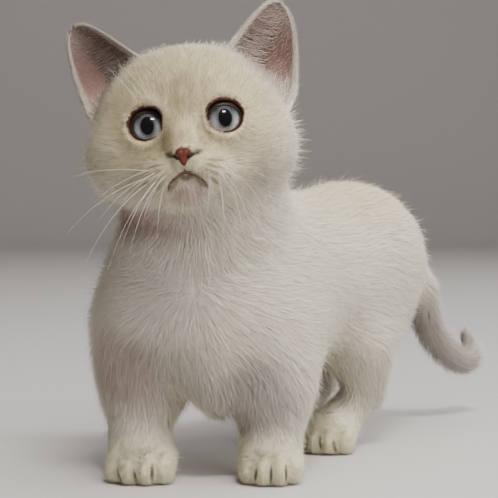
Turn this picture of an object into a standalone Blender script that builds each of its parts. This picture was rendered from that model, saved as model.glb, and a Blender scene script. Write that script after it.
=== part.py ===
# A munchkin kitten, standing, as a still life-size model.
# It faces -Y, +X is its left side, and its paws stand on z = 0.
# The body is one smooth surface, given by a signed distance worked out from named forms:
# balls, tapered rods and soft joins. Each node is that surface inside the node's own planes,
# so that neighbours meet face to face across a thin cut.

import math

import bmesh
import bpy
import numpy as np
from mathutils import Vector

# Sizes below are in millimetres, angles in degrees. MM turns them into metres.
MM = 0.001
GAP = 0.3

# Stance: where the main masses sit, and how far each is turned about the vertical.
HEAD_AT = np.array([13.7, -87.6, 136.2])
HEAD_YAW, HEAD_PITCH, HEAD_ROLL = 34.5, -5.0, -6.0
CHEST_AT = np.array([-5.0, -58.0, 72.0])
CHEST_YAW = 24.0
BELLY_AT = np.array([-8.0, -8.0, 77.0])
HIPS_AT = np.array([-3.0, 47.0, 77.5])
HIPS_YAW = -6.0

# Head sizes, in the head's own frame: x to the cat's left, y backwards, z up.
SKULL_RADII = (37.0, 34.0, 31.5)
JOWL_RADII = (36.8, 29.0, 21.0)
CHEEK_AT, CHEEK_RADII = (23.0, -3.0, -7.0), (15.5, 21.0, 16.0)
MUZZLE_AT, MUZZLE_RADII = (0.0, -23.0, -16.5), (19.0, 12.0, 11.5)
MUZZLE_YAW = -2.0
PAD_AT, PAD_RADII = (8.6, -28.8, -17.0), (9.3, 9.0, 6.8)
CHIN_AT, CHIN_RADII = (0.0, -28.4, -23.2), (7.6, 7.2, 4.6)
BRIDGE_TOP, BRIDGE_TIP = (0.0, -26.0, 5.0), (0.0, -36.5, -10.8)
NOSE_AT, NOSE_RADII = (0.0, -38.3, -10.2), (5.0, 3.2, 2.7)
NOSE_KEEL_AT, NOSE_KEEL_RADII = (0.0, -38.4, -12.4), (2.1, 2.4, 2.4)
NOSTRIL_AT, NOSTRIL_RADII = (3.3, -41.2, -11.0), (1.6, 2.0, 1.2)

# Eyes: an eyeball in a socket, with lids that leave a round opening along the gaze.
EYE_AT = np.array([12.7, -20.2, 1.6])
EYE_RADIUS = 8.8
LID = 1.3
LID_OPENING = 5.9
GAZE = np.array([0.18, -0.98, 0.05])

# Mouth: x and z of a line from under the nose, down the lip and out to the corner of one side.
MOUTH_LINE = ((0.0, -13.2), (0.0, -17.4), (2.2, -18.4), (4.6, -20.3), (7.0, -23.2))
MOUTH_RADIUS = 0.75

# Ears, in the head's frame: the corners where the ear meets the head, and its tip.
EAR_INNER = np.array([14.5, 2.0, 30.5])
EAR_OUTER = {1: np.array([41.0, 9.0, 12.0]), -1: np.array([38.5, 9.0, 12.0])}
EAR_TIPS = {1: np.array([38.6, 6.0, 48.3]), -1: np.array([41.2, 6.0, 48.3])}
EAR_SUNK = 0.34
EAR_CUP, EAR_FLAP, EAR_RIM = 9.5, 2.6, 1.3
EAR_ROUND, EAR_BOW = 3.0, 0.6
EAR_ROWS, EAR_COLUMNS = 18, 14

# Legs: paw centre on the floor, way it points, and the joints above it.
FRONT_LEGS = {
    "right": {
        "paw": (-21.0, -74.0, 0.0),
        "yaw": 26.0,
        "spread": 1.02,
        "shoulder": (-29.5, -62.0, 60.0),
        "elbow": (-29.0, -64.0, 36.0),
        "wrist": (-1.8, 3.0, 17.0),
    },
    "left": {
        "paw": (20.7, -45.6, 0.0),
        "yaw": 36.0,
        "spread": 0.91,
        "shoulder": (14.0, -40.0, 60.0),
        "elbow": (18.0, -41.5, 36.0),
        "wrist": (0.3, 3.0, 16.0),
    },
}
HIND_LEGS = {
    "left": {
        "paw": (3.8, 24.5, 0.0),
        "yaw": 16.0,
        "hip": (10.0, 41.0, 60.0),
        "knee": (14.0, 32.5, 48.0),
        "heel": (10.5, 44.5, 27.0),
    },
    "right": {
        "paw": (-25.0, 27.0, 0.0),
        "yaw": 10.0,
        "hip": (-22.0, 45.0, 60.0),
        "knee": (-26.0, 36.0, 48.0),
        "heel": (-21.0, 50.0, 27.0),
    },
}
FRONT_TOES = ((-9.6, -8.0), (-3.4, -11.5), (3.4, -11.5), (9.6, -8.0))
HIND_TOES = ((-8.4, -7.0), (-3.0, -10.0), (3.0, -10.0), (8.4, -7.0))

# Tail: points along its middle, each with its radius.
TAIL = (
    ((-0.4, 60.0, 92.0), 14.0),
    ((8.1, 95.1, 70.1), 9.5),
    ((6.2, 102.1, 60.0), 8.7),
    ((4.4, 113.5, 46.9), 8.2),
    ((4.2, 128.3, 35.7), 8.0),
    ((4.9, 143.6, 28.8), 7.6),
    ((8.1, 149.7, 32.2), 6.8),
    ((7.4, 147.2, 41.6), 4.0),
)


def turning(yaw=0.0, pitch=0.0, roll=0.0):
    """The 3x3 matrix of a roll about y, then a pitch about x, then a yaw about z."""
    a, b, c = np.radians([yaw, pitch, roll])
    about_z = np.array([[np.cos(a), -np.sin(a), 0], [np.sin(a), np.cos(a), 0], [0, 0, 1]])
    about_x = np.array([[1, 0, 0], [0, np.cos(b), -np.sin(b)], [0, np.sin(b), np.cos(b)]])
    about_y = np.array([[np.cos(c), 0, np.sin(c)], [0, 1, 0], [-np.sin(c), 0, np.cos(c)]])
    return about_z @ about_x @ about_y


HEAD_TURN = turning(HEAD_YAW, HEAD_PITCH, HEAD_ROLL)
MUZZLE_TURN = HEAD_TURN @ turning(MUZZLE_YAW)
CHEST_TURN = turning(CHEST_YAW)
HIPS_TURN = turning(HIPS_YAW)
GAZE = GAZE / np.linalg.norm(GAZE)


def from_head(point):
    """A point of the head's own frame, in the model's frame."""
    return HEAD_AT + HEAD_TURN @ np.asarray(point, float)


def from_muzzle(point):
    """A point of the muzzle's frame, which is the head's turned a little further about its vertical."""
    return HEAD_AT + MUZZLE_TURN @ np.asarray(point, float)


# Signed distances: negative inside, positive outside, in millimetres.


def ball(points, centre, radii, turn=None):
    """Distance to an ellipsoid: how far its scaled radius is from 1, over the slope there."""
    local = points - np.asarray(centre)
    if turn is not None:
        local = local @ turn
    radii = np.asarray(radii, float) * np.ones(3)
    scaled = np.sqrt(((local / radii) ** 2).sum(-1))
    slope = np.sqrt(((local / radii**2) ** 2).sum(-1))
    return scaled * (scaled - 1) / np.maximum(slope, 1e-6)


def rod(points, start, end, start_radius, end_radius):
    """Distance to a rod with round ends whose radius changes evenly from start to end."""
    start, end = np.asarray(start, float), np.asarray(end, float)
    along = end - start
    t = np.clip((points - start) @ along / (along @ along), 0, 1)
    away = np.sqrt(((points - start - t[..., None] * along) ** 2).sum(-1))
    return away - (start_radius + (end_radius - start_radius) * t)


def joined(first, second, softness):
    """The union of two distances, filleted over about the softness."""
    h = np.clip(0.5 + 0.5 * (second - first) / softness, 0, 1)
    return second + (first - second) * h - softness * h * (1 - h)


def both_sides(points):
    """The points with their x made positive, so that one form serves both sides."""
    return np.stack([np.abs(points[..., 0]), points[..., 1], points[..., 2]], -1)


def head_distance(points):
    """Skull, jowls, cheeks, muzzle, whisker pads, chin, nose bridge and full lids."""
    local = (points - HEAD_AT) @ HEAD_TURN
    paired = both_sides(local)
    d = ball(local, (0, 3, 4), SKULL_RADII)
    d = joined(d, ball(local, (0, 0, -9), JOWL_RADII), 10)
    d = joined(d, ball(paired, CHEEK_AT, CHEEK_RADII), 8)
    muzzle = (points - HEAD_AT) @ MUZZLE_TURN
    d = joined(d, ball(muzzle, MUZZLE_AT, MUZZLE_RADII), 9)
    d = joined(d, rod(muzzle, BRIDGE_TOP, BRIDGE_TIP, 8.0, 4.6), 7)
    d = joined(d, ball(both_sides(muzzle), PAD_AT, PAD_RADII), 3)
    d = joined(d, ball(muzzle, CHIN_AT, CHIN_RADII), 3)
    return joined(d, ball(paired, EYE_AT, EYE_RADIUS + LID), 4)


def on_face(x, z):
    """The point of the face at x and z of the muzzle's frame: it steps backwards by the distance left."""
    point = np.array([x, -60.0, z])
    for _ in range(40):
        point[1] += float(head_distance(from_muzzle(point)[None])[0])
    return from_muzzle(point)


def nose_distance(points, swell=0.0):
    """The bare nose leather: a broad pad over a narrow keel."""
    local = (points - HEAD_AT) @ MUZZLE_TURN
    d = ball(local, NOSE_AT, NOSE_RADII)
    return joined(d, ball(local, NOSE_KEEL_AT, NOSE_KEEL_RADII), 2) - swell


def torso_distance(points):
    """Chest, both shoulders, belly, hips and the soft bib between the forelegs."""
    d = ball(points, CHEST_AT, (38.2, 36, 39.5), CHEST_TURN)
    d = joined(d, ball(points, (-32.5, -65, 56), (19, 25, 33), CHEST_TURN), 14)
    d = joined(d, ball(points, (19, -36, 58), (17, 24, 34), CHEST_TURN), 14)
    d = joined(d, ball(points, BELLY_AT, (40, 52, 40)), 20)
    d = joined(d, ball(points, HIPS_AT, (38, 38, 43), HIPS_TURN), 22)
    return joined(d, ball(points, (5.5, -62, 50), (13, 16, 25), CHEST_TURN), 8)


def paw_distance(points, centre, turn, radii, toes, toe_radii):
    """A paw: one pad with a row of toes along its front edge."""
    centre = np.asarray(centre)
    d = ball(points, centre + turn @ np.array([0, 0, radii[2] - 0.5]), radii, turn)
    for x, y in toes:
        toe = centre + turn @ np.array([x, y, toe_radii[2] - 0.8])
        d = joined(d, ball(points, toe, toe_radii, turn), 2.0)
    return d


def front_leg_distance(points, leg):
    """Upper arm, forearm and paw of one foreleg."""
    turn = turning(leg["yaw"])
    wrist = np.asarray(leg["paw"]) + turn @ np.array(leg["wrist"])
    d = rod(points, leg["shoulder"], leg["elbow"], 20.5, 16)
    d = joined(d, rod(points, leg["elbow"], wrist, 16, 12.4), 8)
    toes = [(x * leg["spread"], y) for x, y in FRONT_TOES]
    paw = paw_distance(points, leg["paw"], turn, (13 * leg["spread"], 15, 9.5), toes, (4.1, 6.5, 6.6))
    return joined(d, paw, 4)


def hind_leg_distance(points, leg):
    """Thigh, shank, hock and paw of one hind leg."""
    turn = turning(leg["yaw"])
    ankle = np.asarray(leg["paw"]) + turn @ np.array([0, 8, 11])
    d = ball(points, leg["hip"], (16, 24, 29), HIPS_TURN)
    d = joined(d, rod(points, leg["knee"], leg["heel"], 16.5, 9.5), 10)
    d = joined(d, rod(points, leg["heel"], ankle, 9.5, 9.5), 6)
    paw = paw_distance(points, leg["paw"], turn, (11.5, 13, 9), HIND_TOES, (3.7, 6.2, 6.0))
    return joined(d, paw, 4)


def tail_distance(points):
    """The tail: short rods along a smooth curve through its middle points."""
    spots = np.linspace(0, len(TAIL) - 1, 4 * (len(TAIL) - 1) + 1)
    middle = np.array([place for place, _ in TAIL])
    path = np.stack([smooth_through(middle[:, i], spots) for i in range(3)], 1)
    radius = smooth_through(np.array([size for _, size in TAIL]), spots)
    links = zip(path[:-1], path[1:], radius[:-1], radius[1:])
    return np.min([rod(points, *link) for link in links], axis=0)


def neck_distance(points):
    return rod(points, (-4, -51, 93), (9, -75, 126), 36, 31)


def body_distance(points):
    """The whole coat surface, without ears, eyes and nose."""
    d = joined(torso_distance(points), neck_distance(points), 18)
    for leg in FRONT_LEGS.values():
        d = joined(d, front_leg_distance(points, leg), 10)
    for leg in HIND_LEGS.values():
        d = joined(d, hind_leg_distance(points, leg), 12)
    d = joined(d, tail_distance(points), 14)
    return joined(d, head_distance(points), 8)


def net_over(distance, low, high, step):
    """Points and quads of the zero surface in a box: one point in each cell that the surface
    crosses, at the mean of the crossings on the cell's edges, and one quad round each crossed edge."""
    counts = [int(math.ceil((h - l) / step)) + 1 for l, h in zip(low, high)]
    axes = [l + step * np.arange(n) for l, n in zip(low, counts)]
    lattice = np.stack(np.meshgrid(*axes, indexing="ij"), -1)
    value = distance(lattice.reshape(-1, 3)).reshape(counts)
    for axis in range(3):
        edge = np.moveaxis(value, axis, 0)
        edge[0] = np.maximum(edge[0], step)
        edge[-1] = np.maximum(edge[-1], step)
    cells = [n - 1 for n in counts]
    total = np.zeros(cells + [3])
    crossed = np.zeros(cells)
    for axis in range(3):
        others = [a for a in range(3) if a != axis]
        for i in (0, 1):
            for j in (0, 1):
                near = [slice(None)] * 3
                near[axis] = slice(0, cells[axis])
                near[others[0]] = slice(i, i + cells[others[0]])
                near[others[1]] = slice(j, j + cells[others[1]])
                far = list(near)
                far[axis] = slice(1, 1 + cells[axis])
                a, b = value[tuple(near)], value[tuple(far)]
                hit = (a < 0) != (b < 0)
                share = np.where(hit, a / np.where(hit, a - b, 1), 0)
                spot = np.zeros(cells + [3])
                spot[..., axis] = share
                spot[..., others[0]] = i
                spot[..., others[1]] = j
                total += spot * hit[..., None]
                crossed += hit
    used = crossed > 0
    number = np.full(cells, -1)
    number[used] = np.arange(used.sum())
    corner = np.argwhere(used)
    points = np.asarray(low) + step * (corner + total[used] / crossed[used][:, None])
    quads = []
    for axis in range(3):
        b, c = (axis + 1) % 3, (axis + 2) % 3
        near = [slice(1, n - 1) for n in counts]
        near[axis] = slice(0, counts[axis] - 1)
        far = list(near)
        far[axis] = slice(1, counts[axis])
        first, second = value[tuple(near)] < 0, value[tuple(far)] < 0
        at = np.argwhere(first != second)
        at[:, [b, c]] += 1
        outward = first[first != second]
        ring = []
        for db, dc in ((-1, -1), (0, -1), (0, 0), (-1, 0)):
            cell = at.copy()
            cell[:, b] += db
            cell[:, c] += dc
            ring.append(number[tuple(cell.T)])
        ring = np.stack(ring, 1)
        quads.append(np.where(outward[:, None], ring, ring[:, ::-1]))
    return points, np.concatenate(quads)


def twice_used(quads):
    """Whether each edge of the quads has just two faces, as on a closed surface that doesn't touch itself."""
    ends = np.sort(np.concatenate([quads[:, [k, (k + 1) % 4]] for k in range(4)]), axis=1)
    return bool((np.unique(ends, axis=0, return_counts=True)[1] == 2).all())


def closed_net(distance, low, high, step):
    """The net, with its lattice moved a little at a time until no edge is shared by more than two faces."""
    for attempt in range(12):
        move = np.array([0.0, 0.37, 0.71]) * step * attempt / 4
        points, quads = net_over(distance, np.asarray(low) - move, high, step)
        if twice_used(quads):
            return points, quads
    raise ValueError("no lattice gave a closed net")


def material(name, colour, roughness):
    """A plain Principled material, made once for each name."""
    made = bpy.data.materials.get(name) or bpy.data.materials.new(name)
    made.use_nodes = True
    shader = made.node_tree.nodes["Principled BSDF"]
    shader.inputs["Base Color"].default_value = (*colour, 1.0)
    shader.inputs["Roughness"].default_value = roughness
    shader.inputs["Metallic"].default_value = 0.0
    return made


def new_object(name, points, faces):
    """A mesh object from points in millimetres, turned into metres."""
    mesh = bpy.data.meshes.new(name)
    mesh.from_pydata((np.asarray(points) * MM).tolist(), [], [[int(i) for i in face] for face in faces])
    mesh.update()
    made = bpy.data.objects.new(name, mesh)
    bpy.context.scene.collection.objects.link(made)
    return made


def finish_modifiers(obj):
    """Turns the object's modifiers into plain mesh."""
    bpy.context.view_layer.update()
    graph = bpy.context.evaluated_depsgraph_get()
    mesh = bpy.data.meshes.new_from_object(obj.evaluated_get(graph))
    obj.modifiers.clear()
    obj.data = mesh
    return obj


def with_bmesh(obj, work):
    """Runs work on the object's mesh as a bmesh and writes it back."""
    bm = bmesh.new()
    bm.from_mesh(obj.data)
    work(bm)
    bm.to_mesh(obj.data)
    bm.free()
    obj.data.update()
    return obj


def reduce_to(obj, triangles):
    """Collapses edges until the object has about that many triangles."""
    with_bmesh(obj, lambda bm: bmesh.ops.triangulate(bm, faces=bm.faces))
    modifier = obj.modifiers.new("Fewer faces", "DECIMATE")
    modifier.ratio = min(1.0, triangles / len(obj.data.polygons))
    return finish_modifiers(obj)


def keep_side(obj, point, normal):
    """Cuts the closed mesh by a plane, keeps the side behind the normal and caps it flat."""

    def work(bm):
        whole = bm.verts[:] + bm.edges[:] + bm.faces[:]
        bmesh.ops.bisect_plane(
            bm,
            geom=whole,
            dist=1e-7,
            plane_co=Vector(np.asarray(point) * MM),
            plane_no=Vector(normal),
            clear_outer=True,
        )
        rim = [e for e in bm.edges if e.is_boundary]
        bmesh.ops.holes_fill(bm, edges=rim, sides=0)
        bmesh.ops.triangulate(bm, faces=bm.faces)

    return with_bmesh(obj, work)


def keep_largest(obj):
    """Drops all but the part with the most points that are joined by edges."""

    def work(bm):
        left = set(bm.verts)
        parts = []
        while left:
            part, edge = set(), [left.pop()]
            while edge:
                vertex = edge.pop()
                part.add(vertex)
                for link in vertex.link_edges:
                    other = link.other_vert(vertex)
                    if other in left:
                        left.discard(other)
                        edge.append(other)
            parts.append(part)
        parts.sort(key=len)
        for part in parts[:-1]:
            bmesh.ops.delete(bm, geom=list(part), context="VERTS")

    return with_bmesh(obj, work)


def combine(obj, cutter, operation):
    """Applies one Boolean and removes the cutter."""
    modifier = obj.modifiers.new("Boolean", "BOOLEAN")
    modifier.operation = operation
    modifier.object = cutter
    finish_modifiers(obj)
    bpy.data.objects.remove(cutter)
    return keep_largest(obj)


def box_object(name, low, high, origin, turn):
    """A box given by two corners in a frame that is turned about its origin."""
    corners = [(x, y, z) for x in (low[0], high[0]) for y in (low[1], high[1]) for z in (low[2], high[2])]
    points = [np.asarray(origin) + turn @ np.asarray(c, float) for c in corners]
    sides = [(0, 1, 3, 2), (4, 6, 7, 5), (0, 4, 5, 1), (2, 3, 7, 6), (0, 2, 6, 4), (1, 5, 7, 3)]
    made = new_object(name, points, sides)
    return made


def ball_object(name, centre, radius, rings=14, segments=20):
    """A ball of quads with closed poles."""
    mesh = bpy.data.meshes.new(name)
    bm = bmesh.new()
    bmesh.ops.create_uvsphere(bm, u_segments=segments, v_segments=rings, radius=radius * MM)
    bmesh.ops.translate(bm, verts=bm.verts, vec=Vector(np.asarray(centre) * MM))
    bm.to_mesh(mesh)
    bm.free()
    made = bpy.data.objects.new(name, mesh)
    bpy.context.scene.collection.objects.link(made)
    return made


def tube_points(line, radii, sides=8, finer=4):
    """Points and faces of a closed tube along a smooth curve through the line's points."""
    line = np.asarray(line, float)
    spots = np.linspace(0, len(line) - 1, finer * (len(line) - 1) + 1)
    path = np.stack([smooth_through(line[:, i], spots) for i in range(3)], 1)
    radius = np.interp(spots, np.arange(len(line)), np.asarray(radii, float) * np.ones(len(line)))
    tangent = np.gradient(path, axis=0)
    tangent /= np.linalg.norm(tangent, axis=1, keepdims=True)
    side = np.cross(tangent, np.array([0.0, 0.3, 1.0]))
    side /= np.linalg.norm(side, axis=1, keepdims=True)
    up = np.cross(side, tangent)
    angle = np.arange(sides) * 2 * np.pi / sides
    ring = np.cos(angle)[None, :, None] * side[:, None] + np.sin(angle)[None, :, None] * up[:, None]
    points = (path[:, None] + radius[:, None, None] * ring).reshape(-1, 3)
    faces = []
    for row in range(len(path) - 1):
        for k in range(sides):
            after = (k + 1) % sides
            here, there = row * sides, (row + 1) * sides
            faces.append((here + k, here + after, there + after, there + k))
    faces.append(tuple(reversed(range(sides))))
    faces.append(tuple(range(len(points) - sides, len(points))))
    return points, faces


def smooth_through(values, spots):
    """Catmull-Rom interpolation of values given at 0, 1, 2 and so on."""
    padded = np.concatenate([[2 * values[0] - values[1]], values, [2 * values[-1] - values[-2]]])
    index = np.minimum(spots.astype(int), len(values) - 2)
    t = spots - index
    a, b, c, d = (padded[index + k] for k in range(4))
    return 0.5 * (2 * b + (c - a) * t + (2 * a - 5 * b + 4 * c - d) * t**2 + (3 * b - a - 3 * c + d) * t**3)


def outward(obj):
    """Makes all faces of a closed mesh point out."""
    return with_bmesh(obj, lambda bm: bmesh.ops.recalc_face_normals(bm, faces=bm.faces))


# The planes that part the body: a point, and the way the kept side looks away from.
HEAD_PLANE = ((9, -76, 110), (0.15, -0.30, 0.94))
NECK_PLANE = ((4, -72, 92), (0.20, -0.55, 0.80))
CHEST_PLANE = ((0, -22, 70), (-0.15, -0.99, 0))
HIPS_PLANE = ((0, 15, 70), (0.05, -1.0, 0))
TAIL_PLANE = ((2, 85, 80), (0.10, 0.97, -0.20))
TIP_PLANE = ((4.4, 116, 45), (0.0, 0.78, -0.62))
FRONT_TOP, HIND_TOP, WRIST_TOP, ANKLE_TOP = 43.0, 50.0, 18.0, 17.0
FRONT_INNER, HIND_INNER = 10.5, 7.0
BIB_AT = np.array([3.0, -64.0, 0.0])
CROTCH_AT = np.array([-8.0, 36.0, 0.0])


def above(plane, sign=1):
    """The half space on one side of a plane, moved back by half the gap."""
    point, normal = np.asarray(plane[0], float), np.asarray(plane[1], float)
    normal = sign * normal / np.linalg.norm(normal)
    return point + normal * GAP / 2, -normal


def level(height, sign):
    """The half space above (sign 1) or below (sign -1) a height."""
    return above(((0, 0, height), (0, 0, 1)), sign)


def flesh(name, low, high, step, triangles, sides):
    """One node of the body: the net of the whole surface in a box, cut by its own planes."""
    points, quads = closed_net(body_distance, low, high, step)
    obj = new_object(name, points, quads)
    reduce_to(obj, triangles)
    for point, normal in sides:
        keep_side(obj, point, normal)
    return keep_largest(obj)


def leg_sides(origin, turn, inner, sign, top, bottom):
    """The planes round a leg: its inner side, its top and its bottom."""
    across = turn @ np.array([1.0, 0.0, 0.0])
    inner_plane = (origin + across * inner * sign, across)
    return [above(inner_plane, sign), level(top, -1), level(bottom, 1)]


def leg_block(name, origin, turn, inner, sign, top, back):
    """The space that a leg takes out of the torso, larger than the leg by the gap."""
    inner_edge, outer_edge = inner * sign - sign * GAP / 2, 90.0 * sign
    low = (min(inner_edge, outer_edge), back[0], -20)
    high = (max(inner_edge, outer_edge), back[1], top + GAP / 2)
    return outward(box_object(name, low, high, origin, turn))


def ear_grids(side):
    """Front and rear faces of an ear as grids: t climbs from below the base (t < 0) to the tip (t = 1),
    a crosses from the inner edge (-1) to the outer edge (1). Half the width falls with u = 1 - t as
    the square root of u * u + EAR_ROUND * u, so the tip is round; the cup sinks as 1 - a * a."""
    t = 1 - (1 + EAR_SUNK) * np.linspace(1, 0, EAR_ROWS)[:, None] ** 1.7
    tip = EAR_TIPS[side]
    a = np.sin(np.linspace(-1, 1, EAR_COLUMNS) * math.pi / 2)[None, :]
    u = 1 - t
    base, half = (EAR_INNER + EAR_OUTER[side]) / 2, (EAR_OUTER[side] - EAR_INNER) / 2
    width = np.sqrt(u * u + EAR_ROUND * u) / math.sqrt(1 + EAR_ROUND)
    width = np.where(t < 0, 1 + 0.25 * t, width)
    out = half / np.linalg.norm(half)
    forward = np.cross(half, tip - base)
    forward /= np.linalg.norm(forward)
    middle = base + (tip - base) * t[..., None] + out * (EAR_BOW * 4 * np.maximum(t, 0) * u)[..., None]
    sheet = middle + half * (a * width)[..., None]
    sheet = sheet - forward * (EAR_CUP * (1 - a * a) * np.minimum(width, 1) * (1 - 0.35 * t))[..., None]
    flap = EAR_RIM / 2 + (EAR_FLAP - EAR_RIM) / 2 * (1 - a * a) * (1 - 0.5 * np.maximum(t, 0))
    mirror = np.array([side, 1.0, 1.0])
    return (sheet + forward * flap[..., None]) * mirror, (sheet - forward * flap[..., None]) * mirror


def ear(name, side, head):
    """An ear flap, closed round its rim and trimmed to sit on the head."""
    front, rear = ear_grids(side)
    rows, columns = front.shape[:2]
    front[-1] = front[-1].mean(0)
    rear[-1] = rear[-1].mean(0)
    points = np.concatenate([front.reshape(-1, 3), rear.reshape(-1, 3)])
    count = rows * columns
    faces = []
    for i in range(rows - 1):
        for j in range(columns - 1):
            a = i * columns + j
            b, c, d = a + 1, a + columns + 1, a + columns
            faces.append((a, b, c, d))
            faces.append((d + count, c + count, b + count, a + count))
        for j in (0, columns - 1):
            a, d = i * columns + j, (i + 1) * columns + j
            faces.append((a, d, d + count, a + count))
    for j in range(columns - 1):
        faces.append((j, j + count, j + 1 + count, j + 1))
        a = (rows - 1) * columns + j
        faces.append((a, a + 1, a + 1 + count, a + count))
    placed = HEAD_AT + points @ HEAD_TURN.T
    obj = new_object(name, placed, faces)
    with_bmesh(obj, lambda bm: bmesh.ops.remove_doubles(bm, verts=bm.verts, dist=0.0002))
    with_bmesh(obj, lambda bm: bmesh.ops.dissolve_degenerate(bm, edges=bm.edges, dist=1e-6))
    outward(obj)
    swollen = head.copy()
    swollen.data = head.data.copy()
    bpy.context.scene.collection.objects.link(swollen)
    push = swollen.modifiers.new("Gap", "DISPLACE")
    push.mid_level = 0.0
    push.strength = GAP * MM
    finish_modifiers(swollen)
    return combine(obj, swollen, "DIFFERENCE")


def head_node():
    """The head with its sockets, lid openings, nose bed and mouth line cut in."""
    middle = HEAD_AT
    obj = flesh("head", middle - 47, middle + (47, 66, 44), 1.3, 5400, [above(HEAD_PLANE)])
    for side in (-1, 1):
        mirror = np.array([side, 1, 1])
        centre, gaze = from_head(EYE_AT * mirror), HEAD_TURN @ (GAZE * mirror)
        socket = ball_object("socket", centre, EYE_RADIUS + GAP, 16, 28)
        line = [centre + gaze * 2.0, centre + gaze * 22.0]
        points, faces = tube_points(line, [LID_OPENING * 0.92, LID_OPENING * 1.25], sides=28, finer=1)
        combine(socket, outward(new_object("opening", points, faces)), "UNION")
        combine(obj, socket, "DIFFERENCE")
    middle = from_muzzle(NOSE_AT)
    points, quads = closed_net(lambda p: nose_distance(p, GAP), middle - 9, middle + 9, 0.6)
    combine(obj, reduce_to(new_object("nose bed", points, quads), 300), "DIFFERENCE")
    for side in (-1, 1):
        line = [on_face(side * x, z) for x, z in MOUTH_LINE]
        points, faces = tube_points(line, MOUTH_RADIUS, sides=8, finer=3)
        combine(obj, outward(new_object("mouth line", points, faces)), "DIFFERENCE")
    return obj


def nose_node():
    """The nose leather with two nostrils sunk in."""

    def distance(points):
        local = both_sides((points - HEAD_AT) @ MUZZLE_TURN)
        return -joined(-nose_distance(points), ball(local, NOSTRIL_AT, NOSTRIL_RADII), 0.5)

    points, quads = closed_net(distance, from_muzzle(NOSE_AT) - 9, from_muzzle(NOSE_AT) + 9, 0.45)
    return reduce_to(new_object("nose", points, quads), 420)


def legs(side, sign):
    """The two legs and two paws of one side."""
    front_origin, hind_origin = BIB_AT, CROTCH_AT
    front, hind = np.asarray(FRONT_LEGS[side]["paw"]), np.asarray(HIND_LEGS[side]["paw"])
    chest_side, hips_side = above(CHEST_PLANE), above(HIPS_PLANE, -1)
    made = []
    front_steps = (("leg", FRONT_TOP, WRIST_TOP, 420, 2.2), ("paw", WRIST_TOP, 0.0, 900, 1.15))
    hind_steps = (("leg", HIND_TOP, ANKLE_TOP, 700, 2.2), ("paw", ANKLE_TOP, 0.0, 860, 1.15))
    for name, top, bottom, count, step in front_steps:
        sides = leg_sides(front_origin, CHEST_TURN, FRONT_INNER, sign, top, bottom) + [chest_side]
        if name == "paw":
            sides[2:] = [((0, 0, 0), (0, 0, -1))]
        low, high = front - (34, 34, 6), front + (34, 40, top + 6)
        made.append(flesh(f"front_{side}_{name}", low, high, step, count, sides))
    for name, top, bottom, count, step in hind_steps:
        sides = leg_sides(hind_origin, HIPS_TURN, HIND_INNER, sign, top, bottom) + [hips_side]
        if name == "paw":
            sides[2:] = [((0, 0, 0), (0, 0, -1))]
        low, high = hind - (34, 34, 6), hind + (34, 56, top + 6)
        made.append(flesh(f"hind_{side}_{name}", low, high, step, count, sides))
    return made


def torso_nodes():
    """Neck, chest, belly and hips, with the legs' space cut out of chest and hips."""
    neck = flesh("neck", (-48, -128, 60), (62, -8, 150), 2.6, 620, [above(HEAD_PLANE, -1), above(NECK_PLANE)])
    chest_sides = [above(NECK_PLANE, -1), above(CHEST_PLANE)]
    belly_sides = [above(CHEST_PLANE, -1), above(HIPS_PLANE)]
    hips_sides = [above(HIPS_PLANE, -1), above(TAIL_PLANE, -1)]
    chest = flesh("chest", (-62, -112, 10), (62, -10, 130), 2.8, 1500, chest_sides)
    belly = flesh("belly", (-66, -36, 20), (66, 28, 135), 3.0, 700, belly_sides)
    hips = flesh("hips", (-62, 4, 16), (62, 112, 135), 2.8, 1300, hips_sides)
    for sign in (-1, 1):
        front = leg_block("foreleg space", BIB_AT, CHEST_TURN, FRONT_INNER, sign, FRONT_TOP, (-70, 90))
        combine(chest, front, "DIFFERENCE")
        hind = leg_block("hind leg space", CROTCH_AT, HIPS_TURN, HIND_INNER, sign, HIND_TOP, (-60, 90))
        combine(hips, hind, "DIFFERENCE")
    return [neck, chest, belly, hips]


def tail_nodes():
    """The tail in two lengths."""
    low, high = (-20, 66, 10), (34, 172, 100)
    root = flesh("tail_root", low, high, 1.9, 520, [above(TAIL_PLANE), above(TIP_PLANE, -1)])
    tip = flesh("tail_tip", low, high, 1.7, 620, [above(TIP_PLANE)])
    return [root, tip]


COAT = (0.80, 0.75, 0.66)
FINISHES = {
    "coat": (COAT, 0.9),
    "paw_coat": ((0.84, 0.78, 0.66), 0.9),
    "ear": ((0.78, 0.62, 0.57), 0.8),
    "eye": ((0.33, 0.38, 0.42), 0.15),
    "nose": ((0.55, 0.22, 0.18), 0.5),
}


def finish_of(name):
    if "paw" in name:
        return "paw_coat"
    return name.split("_")[0] if name.split("_")[0] in FINISHES else "coat"


def main():
    for obj in list(bpy.data.objects):
        bpy.data.objects.remove(obj)
    head = head_node()
    nodes = [head, nose_node()] + torso_nodes() + tail_nodes()
    for side, sign in (("left", 1), ("right", -1)):
        nodes.append(ball_object(f"eye_{side}", from_head(EYE_AT * np.array([sign, 1, 1])), EYE_RADIUS))
        nodes.append(ear(f"ear_{side}", sign, head))
        nodes.extend(legs(side, sign))
    corners = np.array([v.co for obj in nodes for v in obj.data.vertices])
    centre = (corners.min(0) + corners.max(0)) / 2
    stance = bpy.data.objects.new("stance", None)
    stance.location = (-centre[0], -centre[1], 0.0)
    bpy.context.scene.collection.objects.link(stance)
    for obj in nodes:
        obj.parent = stance
        colour, roughness = FINISHES[finish_of(obj.name)]
        obj.data.materials.clear()
        obj.data.materials.append(material(finish_of(obj.name), colour, roughness))
        obj.data.shade_smooth()
        obj.data.set_sharp_from_angle(angle=math.radians(40))


main()
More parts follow.
